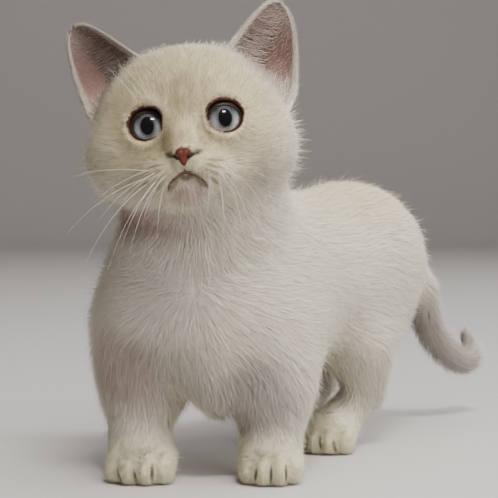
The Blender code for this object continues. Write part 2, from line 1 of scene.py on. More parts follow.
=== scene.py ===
# %% [markdown]
# # A munchkin kitten, standing
# The real animal is a short-legged kitten of about ten weeks, ivory all over, with grey-blue eyes.
# A solid model of it, out to the tips of its fur, is loaded first. Everything made here sits in that
# model's frame: +Z is up, -Y is the way the body faces, and +X is the kitten's left side.

import math

import bpy
import numpy as np
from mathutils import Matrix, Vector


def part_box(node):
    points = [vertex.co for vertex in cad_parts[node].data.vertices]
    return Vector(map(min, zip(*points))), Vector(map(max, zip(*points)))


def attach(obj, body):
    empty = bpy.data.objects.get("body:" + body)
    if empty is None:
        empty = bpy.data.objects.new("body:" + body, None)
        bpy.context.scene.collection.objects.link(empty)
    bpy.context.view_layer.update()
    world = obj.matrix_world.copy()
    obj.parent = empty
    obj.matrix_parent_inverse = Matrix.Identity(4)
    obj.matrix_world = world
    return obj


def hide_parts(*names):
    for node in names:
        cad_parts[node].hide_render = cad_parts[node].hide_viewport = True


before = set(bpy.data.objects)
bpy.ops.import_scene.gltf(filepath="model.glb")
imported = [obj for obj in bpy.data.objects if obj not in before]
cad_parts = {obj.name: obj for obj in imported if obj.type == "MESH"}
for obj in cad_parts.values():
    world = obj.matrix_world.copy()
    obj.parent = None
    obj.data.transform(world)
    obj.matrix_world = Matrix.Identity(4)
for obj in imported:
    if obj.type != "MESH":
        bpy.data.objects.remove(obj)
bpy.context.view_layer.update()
RNG = np.random.default_rng(7)
MM = 0.001
print("solid nodes:", len(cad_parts))

# %% [markdown]
# ## The kitten's measurements
# The body is one smooth surface, so it is described once, by named forms in millimetres: balls,
# tapered rods and soft joins between them. The solid model was made from the same numbers, and one
# comparison, of the left eye's place, gives the shift from these numbers to the model's frame.

# %% Sizes of the head
HEAD_AT = np.array([13.7, -87.6, 136.2])
HEAD_YAW, HEAD_PITCH, HEAD_ROLL = 34.5, -5.0, -6.0
MUZZLE_YAW = -2.0
EYE_AT = np.array([12.7, -20.2, 1.6])
EYE_RADIUS, LID = 8.8, 1.15
GAZE = np.array([0.18, -0.98, 0.05])
GAZE = GAZE / np.linalg.norm(GAZE)
NOSE_AT = (0.0, -38.3, -10.2)
MOUTH_LINE = ((0.0, -13.2), (0.0, -17.2), (2.3, -17.9), (4.5, -19.5), (6.1, -21.3), (7.1, -23.0))
EAR_INNER = np.array([14.5, 2.0, 30.5])
EAR_OUTER = {1: np.array([41.0, 9.0, 12.0]), -1: np.array([38.5, 9.0, 12.0])}
EAR_TIPS = {1: np.array([38.6, 6.0, 48.0]), -1: np.array([41.0, 6.0, 46.9])}
EAR_SUNK, EAR_CUP, EAR_ROUND, EAR_BOW = 0.34, 9.5, 3.0, 0.6
print("between the eyes' middles, mm:", 2 * EYE_AT[0])

# %% Sizes of the body, legs and tail
CHEST_YAW, HIPS_YAW = 24.0, -6.0
RIGHT_FORELEG = {"paw": (-21.0, -74.0, 0.0), "yaw": 26.0, "spread": 1.02}
RIGHT_FORELEG |= {"shoulder": (-29.5, -62.0, 60.0), "elbow": (-29.0, -64.0, 36.0)}
RIGHT_FORELEG["wrist"] = (-3.2, 3.0, 17.0)
LEFT_FORELEG = {"paw": (20.7, -45.6, 0.0), "yaw": 36.0, "spread": 0.91}
LEFT_FORELEG |= {"shoulder": (14.0, -40.0, 60.0), "elbow": (18.0, -41.5, 36.0)}
LEFT_FORELEG["wrist"] = (0.3, 3.0, 16.0)
FRONT_LEGS = {"right": RIGHT_FORELEG, "left": LEFT_FORELEG}
LEFT_HIND_LEG = {"paw": (3.8, 24.5, 0.0), "yaw": 16.0}
LEFT_HIND_LEG |= {"hip": (10.0, 41.0, 60.0), "knee": (14.0, 32.5, 48.0), "heel": (10.5, 44.5, 27.0)}
RIGHT_HIND_LEG = {"paw": (-25.0, 27.0, 0.0), "yaw": 10.0}
RIGHT_HIND_LEG |= {"hip": (-22.0, 45.0, 60.0), "knee": (-26.0, 36.0, 48.0), "heel": (-21.0, 50.0, 27.0)}
HIND_LEGS = {"left": LEFT_HIND_LEG, "right": RIGHT_HIND_LEG}
FRONT_TOES = ((-9.6, -8.0), (-3.4, -11.5), (3.4, -11.5), (9.6, -8.0))
HIND_TOES = ((-9.2, -7.0), (-3.3, -10.2), (3.3, -10.2), (9.2, -7.0))
TAIL = (
    ((-0.4, 60.0, 92.0), 14.0),
    ((8.1, 95.1, 70.1), 9.5),
    ((6.2, 102.1, 60.0), 8.7),
    ((4.4, 113.5, 46.9), 8.2),
    ((4.2, 128.3, 35.7), 8.0),
    ((4.9, 143.6, 28.8), 7.6),
    ((8.1, 149.7, 32.2), 6.8),
    ((7.0, 146.6, 43.6), 2.6),
)
print("tail:", len(TAIL), "places, from radius", TAIL[0][1], "to", TAIL[-1][1], "mm")


# %% Turns
def turning(yaw=0.0, pitch=0.0, roll=0.0):
    """The 3x3 matrix of a roll about y, then a pitch about x, then a yaw about z."""
    a, b, c = np.radians([yaw, pitch, roll])
    about_z = np.array([[np.cos(a), -np.sin(a), 0], [np.sin(a), np.cos(a), 0], [0, 0, 1]])
    about_x = np.array([[1, 0, 0], [0, np.cos(b), -np.sin(b)], [0, np.sin(b), np.cos(b)]])
    about_y = np.array([[np.cos(c), 0, np.sin(c)], [0, 1, 0], [-np.sin(c), 0, np.cos(c)]])
    return about_z @ about_x @ about_y


HEAD_TURN = turning(HEAD_YAW, HEAD_PITCH, HEAD_ROLL)
MUZZLE_TURN = HEAD_TURN @ turning(MUZZLE_YAW)
CHEST_TURN, HIPS_TURN = turning(CHEST_YAW), turning(HIPS_YAW)
print("the head looks along:", np.round(-HEAD_TURN[:, 1], 2))


# %% The head's and the muzzle's own frames
def from_head(points):
    """Points of the head's frame, in the body's frame."""
    return HEAD_AT + np.asarray(points, float) @ HEAD_TURN.T


def from_muzzle(points):
    """Points of the muzzle's frame, which is turned a little further than the skull's."""
    return HEAD_AT + np.asarray(points, float) @ MUZZLE_TURN.T


def to_head(points):
    """Points of the body's frame, in the head's frame: x to its left, y backwards, z up."""
    return (points - HEAD_AT) @ HEAD_TURN


def to_muzzle(points):
    """Points of the body's frame, in the muzzle's frame."""
    return (points - HEAD_AT) @ MUZZLE_TURN


# %% From these numbers to the model's frame
def unit(vectors):
    """Vectors at length 1."""
    return vectors / np.maximum(np.linalg.norm(vectors, axis=-1, keepdims=True), 1e-6)


eye_low, eye_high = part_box("eye_left")
SHIFT = (np.array(eye_low) + np.array(eye_high)) / 2 / MM - from_head(EYE_AT)
print("shift to the model's frame, mm:", np.round(SHIFT, 3))


def to_metres(points):
    """Points in millimetres, in the model's frame in metres."""
    return (np.asarray(points, float) + SHIFT) * MM


# %% [markdown]
# ## Camera, floor and light
# The picture that this model follows was taken from low in front, with a long lens, so the camera
# stands 0.64 m away at the height of the kitten's back. The floor is pale and plain. Four large
# soft lights stand above, in front, beside and behind. A small fifth one above the camera gives
# the highlight in each eye, and is the only one that glossy surfaces mirror.

# %% Camera
VIEW_FROM = np.array([362.1, -530.1, 118.1])
VIEW_YAW, VIEW_DOWN = 36.0, 2.46
FOCAL_PIXELS, FRAME_PIXELS = 1490.0, 498.0
camera = bpy.data.objects.new("camera", bpy.data.cameras.new("camera"))
camera.location = to_metres(VIEW_FROM)
camera.rotation_euler = (math.radians(90 - VIEW_DOWN), 0.0, math.radians(VIEW_YAW))
camera.data.sensor_width = 36.0
camera.data.lens = 36.0 * FOCAL_PIXELS / FRAME_PIXELS
bpy.context.scene.collection.objects.link(camera)
bpy.context.scene.camera = camera
print("lens, mm:", round(camera.data.lens, 1))


# %% Lights
def soft_light(name, azimuth, height, distance, size, power, colour=(1.0, 1.0, 1.0), tall=1.0):
    """A flat light, tall times as high as it is wide, that looks at the kitten's chest from an azimuth and a
    height above it, in degrees."""
    a, e = math.radians(azimuth), math.radians(height)
    target = to_metres((0, -40, 90))
    away = np.array([math.sin(a) * math.cos(e), -math.cos(a) * math.cos(e), math.sin(e)])
    lamp = bpy.data.objects.new(name, bpy.data.lights.new(name, "AREA"))
    lamp.data.shape = "RECTANGLE"
    lamp.data.size, lamp.data.size_y = size, size * tall
    lamp.data.energy = power
    lamp.data.color = colour
    lamp.location = target + away * distance
    lamp.rotation_euler = (math.pi / 2 - e, 0.0, a)
    lamp.visible_glossy = name == "glint"
    bpy.context.scene.collection.objects.link(lamp)


soft_light("key", VIEW_YAW + 38, 54, 1.5, 1.4, 21.0, (1.0, 0.97, 0.90))
soft_light("front", VIEW_YAW + 26, 14, 1.5, 1.3, 14.0, (1.0, 0.97, 0.93))
soft_light("side", VIEW_YAW + 84, 26, 1.5, 1.7, 17.0, (1.0, 0.99, 0.97))
soft_light("back", VIEW_YAW + 150, 50, 1.6, 1.2, 10.0, (0.96, 0.98, 1.0))
soft_light("glint", VIEW_YAW + 11, 54, 1.5, 0.36, 18.0, (1.0, 0.98, 0.94), 0.5)
world = bpy.data.worlds.new("studio")
world.use_nodes = True
background = world.node_tree.nodes["Background"]
background.inputs["Color"].default_value = (0.90, 0.79, 0.73, 1.0)
background.inputs["Strength"].default_value = 0.2
bpy.context.scene.world = world


# %% Floor
def new_material(name, **sockets):
    """A Principled material with constants on its own sockets; gives it, its nodes and its shader."""
    made = bpy.data.materials.new(name)
    made.use_nodes = True
    shader = made.node_tree.nodes["Principled BSDF"]
    for socket, value in sockets.items():
        shader.inputs[socket.replace("_", " ")].default_value = value
    return made, made.node_tree, shader


def studio_floor():
    """A sheet that lies flat, then climbs behind the kitten along a quarter circle."""
    near, far, radius, wide = -1.6, 2.2, 1.0, 4.0
    bend = np.linspace(0, math.pi / 2, 17)
    out = np.concatenate([[near], far + radius * np.sin(bend), [far + radius]])
    rise = np.concatenate([[0.0], radius * (1 - np.cos(bend)), [3.5]])
    a = math.radians(VIEW_YAW)
    away, across = np.array([-math.sin(a), math.cos(a), 0]), np.array([math.cos(a), math.sin(a), 0])
    row = out[:, None] * away + rise[:, None] * np.array([0, 0, 1.0])
    points = np.concatenate([row - across * wide, row + across * wide])
    n = len(row)
    faces = [(i, i + n, i + n + 1, i + 1) for i in range(n - 1)]
    mesh = bpy.data.meshes.new("floor")
    mesh.from_pydata(points.tolist(), [], faces)
    mesh.shade_smooth()
    floor = bpy.data.objects.new("floor", mesh)
    bpy.context.scene.collection.objects.link(floor)
    pale = new_material("floor", Base_Color=(0.56, 0.54, 0.53, 1.0), Roughness=0.55)[0]
    floor.data.materials.append(pale)
    floor.visible_glossy = False
    print("floor:", len(faces), "strips")


studio_floor()

# %% [markdown]
# ## The body as one distance
# A signed distance is negative inside the kitten and positive outside. Forms are joined softly, so
# that shoulders flow into legs as they do under real skin. The result is the surface at the fur's
# tips. The skin is the same surface, pulled in by the depth of the coat at each place.


# %% Balls and rods
def ball(points, centre, radii, turn=None):
    """Distance to an ellipsoid: its scaled radius less 1, times the scaled radius, over the slope there."""
    local = points - np.asarray(centre)
    if turn is not None:
        local = local @ turn
    radii = np.asarray(radii, float) * np.ones(3)
    scaled = np.sqrt(((local / radii) ** 2).sum(-1))
    slope = np.sqrt(((local / radii**2) ** 2).sum(-1))
    return scaled * (scaled - 1) / np.maximum(slope, 1e-6)


def rod(points, start, end, start_radius, end_radius):
    """Distance to a rod with round ends whose radius changes evenly from start to end."""
    start, end = np.asarray(start, float), np.asarray(end, float)
    along = end - start
    t = np.clip((points - start) @ along / (along @ along), 0, 1)
    away = np.sqrt(((points - start - t[..., None] * along) ** 2).sum(-1))
    return away - (start_radius + (end_radius - start_radius) * t)


SEEN_FROM = np.array([0.0, 7.0, 0.0])
print("a ball of radius 5, from 7 mm:", np.round(ball(SEEN_FROM, (0, 0, 0), 5.0), 3))
print("a rod of radius 5, from 7 mm:", np.round(rod(SEEN_FROM, (0, 0, 0), (9, 0, 0), 5.0, 5.0), 3))


# %% Soft joins
def joined(first, second, softness):
    """The union of two distances, filleted over about the softness."""
    h = np.clip(0.5 + 0.5 * (second - first) / softness, 0, 1)
    return second + (first - second) * h - softness * h * (1 - h)


def carved(first, second, softness):
    """The first form with the second one taken out, with a soft edge."""
    return -joined(-first, second, softness)


def both_sides(points):
    """The points with their x made positive, so that one form serves both sides."""
    return np.stack([np.abs(points[..., 0]), points[..., 1], points[..., 2]], -1)


# %% Smooth steps between two values
def ramp(value, low, high):
    """0 below low, 1 above high, and the smooth curve 3t^2 - 2t^3 between them."""
    t = np.clip((value - low) / (high - low), 0, 1)
    return t * t * (3 - 2 * t)


def blended(first, second, share):
    """The first value, moved towards the second by a share."""
    return first + (second - first) * share


def smooth_through(values, spots):
    """Catmull-Rom interpolation of values given at 0, 1, 2 and so on."""
    padded = np.concatenate([[2 * values[0] - values[1]], values, [2 * values[-1] - values[-2]]])
    index = np.minimum(spots.astype(int), len(values) - 2)
    t = spots - index
    a, b, c, d = (padded[index + k] for k in range(4))
    bend = (2 * a - 5 * b + 4 * c - d) * t**2 + (3 * b - a - 3 * c + d) * t**3
    return 0.5 * (2 * b + (c - a) * t + bend)


# %% The head and the nose
def head_distance(points):
    """Skull, jowls, cheeks, muzzle, nose bridge, whisker pads, chin and full lids."""
    local = to_head(points)
    muzzle = to_muzzle(points)
    d = ball(local, (0, 3, 4), (37, 34, 31.5))
    d = joined(d, ball(local, (0, 0, -9), (36.8, 29, 21)), 10)
    d = joined(d, ball(both_sides(local), (23, -3, -7), (15.5, 21, 16)), 8)
    d = joined(d, ball(muzzle, (0, -23, -16.5), (19, 12, 11.5)), 9)
    d = joined(d, rod(muzzle, (0, -26, 5), (0, -36.5, -10.8), 8.0, 4.6), 7)
    d = joined(d, ball(both_sides(muzzle), (8.6, -29.6, -17), (9.1, 9, 6.8)), 3)
    d = joined(d, ball(muzzle, (0, -28.4, -23.2), (7.6, 7.2, 4.6)), 3)
    return joined(d, ball(both_sides(local), EYE_AT, EYE_RADIUS + LID), 7)


def nose_distance(points):
    """The bare nose leather: a flat triangle, wide above and narrow below, with rounded edges."""
    local = both_sides(to_muzzle(points))
    wing = rod(local, (1.35, -39.4, -10.1), (0.1, -39.9, -13.9), 1.35, 0.85)
    return joined(wing, ball(local, (0, -39.2, -10.6), (1.9, 1.6, 1.5)), 1.2)


# %% The torso
def torso_distance(points):
    """Chest, both shoulders, belly, hips and the soft bib between the forelegs."""
    d = ball(points, (-5, -58, 72), (38.2, 36, 39.5), CHEST_TURN)
    d = joined(d, ball(points, (-32.5, -65, 56), (19, 25, 33), CHEST_TURN), 14)
    d = joined(d, ball(points, (19, -36, 58), (17, 24, 34), CHEST_TURN), 14)
    d = joined(d, ball(points, (-8, -8, 77), (40, 52, 40)), 20)
    d = joined(d, ball(points, (-3, 47, 82), (38, 38, 38.5), HIPS_TURN), 22)
    return joined(d, ball(points, (5.5, -62, 50), (13, 16, 25), CHEST_TURN), 8)


# %% Paws and legs
TOE_SOFTNESS = 2.6


def paw_distance(points, centre, turn, radii, toes, toe_radii):
    """A paw: one pad with a row of toes along its front edge."""
    centre = np.asarray(centre)
    d = ball(points, centre + turn @ np.array([0, 0, radii[2] - 0.5]), radii, turn)
    for x, y in toes:
        toe = centre + turn @ np.array([x, y, toe_radii[2] - 0.8])
        d = joined(d, ball(points, toe, toe_radii, turn), TOE_SOFTNESS)
    return d


def front_leg_distance(points, leg):
    """Upper arm, forearm and paw of one foreleg."""
    turn = turning(leg["yaw"])
    wrist = np.asarray(leg["paw"]) + turn @ np.array(leg["wrist"])
    d = rod(points, leg["shoulder"], leg["elbow"], 20.5, 16)
    d = joined(d, rod(points, leg["elbow"], wrist, 16, 13), 8)
    toes = [(x * leg["spread"], y) for x, y in FRONT_TOES]
    pad = (13 * leg["spread"], 15, 9.5)
    return joined(d, paw_distance(points, leg["paw"], turn, pad, toes, (4.4, 6.5, 6.8)), 4)


def hind_leg_distance(points, leg):
    """Thigh, shank, hock and paw of one hind leg."""
    turn = turning(leg["yaw"])
    ankle = np.asarray(leg["paw"]) + turn @ np.array([0, 8, 11])
    d = ball(points, leg["hip"], (16, 24, 29), HIPS_TURN)
    d = joined(d, rod(points, leg["knee"], leg["heel"], 16.5, 9.5), 10)
    d = joined(d, rod(points, leg["heel"], ankle, 9.5, 9.5), 6)
    paw = paw_distance(points, leg["paw"], turn, (12.4, 13.5, 9.5), HIND_TOES, (4.3, 6.4, 6.5))
    return joined(d, paw, 4)


# %% The tail
TAIL_SPOTS = np.linspace(0, len(TAIL) - 1, 4 * (len(TAIL) - 1) + 1)
TAIL_MIDDLE = np.array([place for place, _ in TAIL])
TAIL_PATH = np.stack([smooth_through(TAIL_MIDDLE[:, i], TAIL_SPOTS) for i in range(3)], 1)
TAIL_RADIUS = smooth_through(np.array([size for _, size in TAIL]), TAIL_SPOTS)


def tail_distance(points):
    """The tail: short rods along a smooth curve through its middle points."""
    links = zip(TAIL_PATH[:-1], TAIL_PATH[1:], TAIL_RADIUS[:-1], TAIL_RADIUS[1:])
    return np.min([rod(points, *link) for link in links], axis=0)


# %% The whole body
def body_distance(points):
    """The whole surface at the tips of the coat, without ears, eyes and nose."""
    d = joined(torso_distance(points), rod(points, (-4, -51, 93), (9, -75, 126), 36, 31), 18)
    for leg in FRONT_LEGS.values():
        d = joined(d, front_leg_distance(points, leg), 10)
    for leg in HIND_LEGS.values():
        d = joined(d, hind_leg_distance(points, leg), 12)
    d = joined(d, tail_distance(points), 14)
    d = joined(d, head_distance(points), 8)
    return np.maximum(d, -points[..., 2])


print("chest's middle under the coat's surface, mm:", np.round(-body_distance(np.array([[-5.0, -58, 72]])), 1))

# %% [markdown]
# ## How deep the coat is
# A kitten's fur is longest on the chest, flanks and tail, shorter on the cheeks and paws, and almost
# nothing round the eyes, round the nose and along the mouth. One function of place gives that depth.


# %% The opening of the eyes
EYE_OPEN, RIM_ABOVE, RIM_BELOW = (5.8, 4.8, 4.9), 1.7, 0.55


def eye_axes():
    """Three directions of the left eye in the head's frame: outwards, up, and along the gaze."""
    outward = unit(np.array([1.0, 0, 0]) - GAZE[0] * GAZE)
    return outward, np.cross(GAZE, outward), GAZE


def opening_radius(around):
    """Half the open eye at an angle round the gaze: an ellipse, with a small peak at each corner."""
    high = np.where(np.sin(around) > 0, EYE_OPEN[1], EYE_OPEN[2])
    ellipse = 1 / np.sqrt((np.cos(around) / EYE_OPEN[0]) ** 2 + (np.sin(around) / high) ** 2)
    inner = np.exp(-((wrapped(around - math.radians(206)) / math.radians(13)) ** 2))
    outer = np.exp(-((wrapped(around - math.radians(10)) / math.radians(12)) ** 2))
    return ellipse + 0.6 * inner + 0.2 * outer


def rim_width(around):
    """How wide the lid's dark rim is at an angle round the gaze: thick above, thin below."""
    return RIM_BELOW + (RIM_ABOVE - RIM_BELOW) * ramp(np.sin(around), -0.2, 0.95)


def wrapped(angle):
    """An angle brought into -pi to pi."""
    return (angle + math.pi) % (2 * math.pi) - math.pi


print("open eye, mm wide:", np.round(opening_radius(0.0) + opening_radius(math.pi), 1))


# %% Places near the eyes, the head and the lips
def eye_offset(points):
    """Distance from the nearer eye's middle, along its gaze and away from the gaze's line, and how far the
    lids' outer edge lies from that line there."""
    from_eye = both_sides(to_head(points)) - EYE_AT
    across, upward, along = (from_eye @ axis for axis in eye_axes())
    around = np.arctan2(upward, across)
    return along, np.hypot(across, upward), opening_radius(around) + rim_width(around)


def beside_eye(offset, near, far):
    """1 near the lids' outer edge, falling to 0 farther out, from what eye_offset gives."""
    along, away, edge = offset
    return (1 - ramp(away - edge, near, far)) * (along > 0)


def near_head(points, far=52):
    """1 within 38 mm of the head's middle, falling to 0 at the far distance."""
    return 1 - ramp(np.sqrt((to_head(points) ** 2).sum(-1)), 38, far)


def from_eye_line(points):
    """The way that leads straight away from the nearer eye's line of gaze, in the body's frame."""
    local = to_head(points)
    from_eye = both_sides(local) - EYE_AT
    flat = unit(from_eye - (from_eye @ GAZE)[..., None] * GAZE)
    return (flat * np.where(local[..., :1] < 0, (-1.0, 1.0, 1.0), (1.0, 1.0, 1.0))) @ HEAD_TURN.T


def by_lips(points):
    """1 along the line of the mouth, falling to 0 three millimetres from it."""
    local = both_sides(to_muzzle(points))
    below = local[..., 2] + 17.2 + 0.125 * local[..., 0] ** 2
    off = np.hypot(0.8 * below, np.maximum(local[..., 0] - 7.3, 0))
    return (1 - ramp(off, 0.8, 3.2)) * (local[..., 1] < -15)


# %% Depth of the coat
BODY_FUR, HEAD_FUR, FACE_FUR, NOSE_FUR, EYE_FUR = 4.8, 3.8, 2.1, 0.5, 0.55
LIP_FUR, LID_STEP, PAW_FUR, TAIL_FUR = 0.75, 0.5, 1.7, 4.4


def coat_depth(points):
    """How far the fur stands above the skin at each place, in millimetres."""
    head = near_head(points, 56)
    face = ramp(-to_head(points)[..., 1], -4, 20)
    nose = np.sqrt(((points - from_muzzle(NOSE_AT)) ** 2).sum(-1))
    offset = eye_offset(points)
    low = (1 - ramp(points[..., 2], 12, 48)) * (1 - ramp(points[..., 1], 78, 92))
    depth = blended(BODY_FUR, HEAD_FUR, head)
    depth = blended(depth, FACE_FUR, head * face)
    depth = blended(depth, NOSE_FUR, 1 - ramp(nose, 5, 15))
    depth = blended(depth, EYE_FUR, beside_eye(offset, 0.3, 5.5))
    depth = blended(depth, LIP_FUR, by_lips(points))
    depth = depth + LID_STEP * beside_eye(offset, 0.0, 1.0)
    depth = blended(depth, PAW_FUR + 1.3 * ramp(points[..., 2], 8, 26), low)
    tail_depth = TAIL_FUR - 1.8 * ramp(points[..., 1], 138, 147)
    return blended(depth, tail_depth, ramp(points[..., 1], 84, 104))


print("fur on flank, forehead and toes, mm:", end=" ")
print(np.round(coat_depth(np.array([[35, 0, 75], from_head((0, -28, 15)), [20, -60, 6]])), 2))


# %% Lines of the mouth and nostrils
def mouth_paths():
    """Paths on the face: the mouth, the line under the nose, and both nostrils' slits."""
    half = np.array(MOUTH_LINE[1:])
    xz = np.concatenate([half[::-1] * (-1, 1), half[1:]])
    spots = np.linspace(0, len(xz) - 1, 33)
    xz = np.stack([smooth_through(xz[:, i], spots) for i in range(2)], 1)
    philtrum = np.stack([np.zeros(6), np.linspace(MOUTH_LINE[0][1], MOUTH_LINE[1][1], 6)], 1)
    spots = np.linspace(0, len(SLIT) - 1, 10)
    slit = np.stack([smooth_through(np.array(SLIT)[:, i], spots) for i in range(2)], 1)
    return [on_face(line) for line in (xz, philtrum, slit, slit * (-1, 1))]


def on_face(xz):
    """Points of the muzzle at x and z of its frame: each steps backwards by the distance that is left."""
    points = np.stack([xz[:, 0], np.full(len(xz), -60.0), xz[:, 1]], 1)
    for _ in range(60):
        points[:, 1] += head_distance(from_muzzle(points))
    return from_muzzle(points)


NOSE_TIP = from_muzzle((0.0, -36.0, -11.0))
MUZZLE_REACH = 24.0
SLIT = ((2.1, -11.6), (3.3, -11.2), (4.5, -10.7), (5.8, -10.0))
MOUTH_PATH, PHILTRUM_PATH, *SLIT_PATHS = mouth_paths()
print("mouth, mm along its line:", np.round(np.linalg.norm(np.diff(MOUTH_PATH, axis=0), axis=1).sum(), 1))


# %% The skin's distance
def at_muzzle(points):
    """True within the muzzle's reach of the nose's tip."""
    return np.linalg.norm(points - NOSE_TIP, axis=1) < MUZZLE_REACH


def near_path(points, path, radius):
    """Distance to a round tube along a path of points."""
    return np.min([rod(points, a, b, radius, radius) for a, b in zip(path[:-1], path[1:])], axis=0)


def skin_distance(points):
    """The coat's surface pulled in by its depth, with the eyes' openings, grooves for mouth and nostrils,
    and the nose's bed."""
    d = body_distance(points) + coat_depth(points)
    near = np.sqrt(((points - from_head((0, -30, -8))) ** 2).sum(-1)) < 34
    close, inner = points[near], d[near]
    along, away, edge = eye_offset(close)
    inner = np.maximum(inner, -np.maximum(away - edge, -along))
    inner = carved(inner, near_path(close, LIP_PATH, 0.75), 0.8)
    inner = carved(inner, near_path(close, PHILTRUM_PATH, 0.45), 0.6)
    for path in SLIT_PATHS:
        inner = carved(inner, near_path(close, path, 0.5), 0.5)
    d[near] = carved(inner, nose_distance(close) - 0.05, 0.4)
    return d


# %% [markdown]
# ## From a distance to a mesh
# A mesh is drawn through the places where the distance is zero. The space is cut into small cells,
# and each cell that the surface crosses gets one point, at the mean of its crossings. Points in
# neighbouring cells are joined by quads. Far from the surface a coarse lattice is enough.


# %% Values on a lattice
def stretched(values, axis, count, factor):
    """The values along one axis, interpolated evenly to count places that lie factor times closer."""
    spot = np.arange(count) / factor
    index = np.minimum(spot.astype(int), values.shape[axis] - 2)
    shape = [1, 1, 1]
    shape[axis] = count
    share = (spot - index).reshape(shape)
    return np.take(values, index, axis) * (1 - share) + np.take(values, index + 1, axis) * share


def lattice_values(distance, low, high, step, factor=4):
    """The distance on a lattice, exact near the surface and interpolated elsewhere."""
    rough = [int(math.ceil((h - l) / step / factor)) + 2 for l, h in zip(low, high)]
    axes = [l + step * factor * np.arange(n) for l, n in zip(low, rough)]
    places = np.stack(np.meshgrid(*axes, indexing="ij"), -1)
    value = distance(places.reshape(-1, 3)).reshape(rough)
    counts = [factor * (n - 1) + 1 for n in rough]
    for axis in range(3):
        value = stretched(value, axis, counts[axis], factor)
    near = np.argwhere(np.abs(value) < 1.1 * step * factor)
    value[tuple(near.T)] = distance(np.asarray(low) + step * near)
    return value


# %% Points and quads of a net
def net_of(distance, low, high, step):
    """Points and outward quads of the surface where the distance is zero, in a box."""
    value = lattice_values(distance, low, high, step)
    counts = value.shape
    cells = [n - 1 for n in counts]
    total = np.zeros(cells + [3])
    crossed = np.zeros(cells)
    for axis in range(3):
        others = [a for a in range(3) if a != axis]
        for i in (0, 1):
            for j in (0, 1):
                near = [slice(None)] * 3
                near[axis] = slice(0, cells[axis])
                near[others[0]] = slice(i, i + cells[others[0]])
                near[others[1]] = slice(j, j + cells[others[1]])
                far = list(near)
                far[axis] = slice(1, 1 + cells[axis])
                a, b = value[tuple(near)], value[tuple(far)]
                hit = (a < 0) != (b < 0)
                total[..., axis] += np.where(hit, a / np.where(hit, a - b, 1), 0)
                total[..., others[0]] += i * hit
                total[..., others[1]] += j * hit
                crossed += hit
    used = crossed > 0
    number = np.full(cells, -1)
    number[used] = np.arange(used.sum())
    points = np.asarray(low) + step * (np.argwhere(used) + total[used] / crossed[used][:, None])
    quads = []
    for axis in range(3):
        b, c = (axis + 1) % 3, (axis + 2) % 3
        near = [slice(1, n - 1) for n in counts]
        near[axis] = slice(0, counts[axis] - 1)
        far = list(near)
        far[axis] = slice(1, counts[axis])
        first, second = value[tuple(near)] < 0, value[tuple(far)] < 0
        at = np.argwhere(first != second)
        at[:, [b, c]] += 1
        outward = first[first != second]
        ring = []
        for db, dc in ((-1, -1), (0, -1), (0, 0), (-1, 0)):
            cell = at.copy()
            cell[:, b] += db
            cell[:, c] += dc
            ring.append(number[tuple(cell.T)])
        ring = np.stack(ring, 1)
        quads.append(np.where(outward[:, None], ring, ring[:, ::-1]))
    return points, np.concatenate(quads)


# %% Slopes, and points settled onto the surface
def slope_of(distance, points, reach=0.25):
    """The way in which the distance grows fastest, from its differences to both sides along each axis."""
    slope = np.empty_like(points)
    for axis in range(3):
        step = np.zeros(3)
        step[axis] = reach
        slope[:, axis] = (distance(points + step) - distance(points - step)) / (2 * reach)
    return slope


def settled(distance, points, most=0.6):
    """The points moved onto the surface, by the distance over its slope, with outward normals."""
    slope = slope_of(distance, points)
    size = np.maximum((slope**2).sum(1), 0.2)
    move = -(distance(points) / size)[:, None] * slope
    length = np.sqrt((move**2).sum(1))[:, None]
    points = points + move * np.minimum(1, most / np.maximum(length, 1e-9))
    return points, slope / np.sqrt(np.maximum((slope**2).sum(1), 1e-9))[:, None]


def into_face(path, sunk):
    """A path moved into the face by a depth, one for each of its points."""
    return path - slope_of(head_distance, path) * (sunk * np.ones(len(path)))[:, None]


# %% The skin's points
LIP_PATH = into_face(MOUTH_PATH, coat_depth(MOUTH_PATH) + 0.1)
SKIN_STEP = 1.15
SKIN_LOW, SKIN_HIGH = (-62.0, -134.0, -4.0), (62.0, 166.0, 180.0)
skin_points, skin_quads = net_of(skin_distance, SKIN_LOW, SKIN_HIGH, SKIN_STEP)
skin_points, skin_normals = settled(skin_distance, skin_points)
print("skin:", len(skin_points), "points,", len(skin_quads), "quads")


# %% [markdown]
# ## Making pieces from arrays
# Every piece below starts as whole arrays of points and faces. This helper puts them into a mesh,
# turns the faces outwards by the sign of the enclosed volume, and says what the piece rides on
# and which solid nodes it stands for.


# %% A piece from points and faces
def volume_of(points, faces):
    """Six times the enclosed volume: each triangle's first corner dotted with the cross of its other two."""
    total = 0.0
    for group in faces:
        for k in range(1, group.shape[1] - 1):
            a, b, c = points[group[:, 0]], points[group[:, k]], points[group[:, k + 1]]
            total += (a * np.cross(b, c)).sum()
    return total


def piece_of(name, points, faces, finish, slot, replaced=()):
    """A smooth object from points in millimetres and face arrays, one for each number of corners."""
    points = np.asarray(points, float).reshape(-1, 3)
    faces = [np.asarray(group) for group in faces]
    if volume_of(points, faces) < 0:
        faces = [group[:, ::-1] for group in faces]
    sizes = np.concatenate([np.full(len(group), group.shape[1]) for group in faces])
    corners = np.concatenate([group.ravel() for group in faces])
    mesh = bpy.data.meshes.new(name)
    mesh.vertices.add(len(points))
    mesh.vertices.foreach_set("co", to_metres(points).astype(np.float32).ravel())
    mesh.loops.add(len(corners))
    mesh.loops.foreach_set("vertex_index", corners.astype(np.int32))
    mesh.polygons.add(len(sizes))
    mesh.polygons.foreach_set("loop_start", (np.cumsum(sizes) - sizes).astype(np.int32))
    mesh.update(calc_edges=True)
    mesh.shade_smooth()
    mesh.materials.append(finish)
    made = bpy.data.objects.new(name, mesh)
    bpy.context.scene.collection.objects.link(made)
    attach(made, "root")
    if replaced:
        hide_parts(*replaced)
    return made


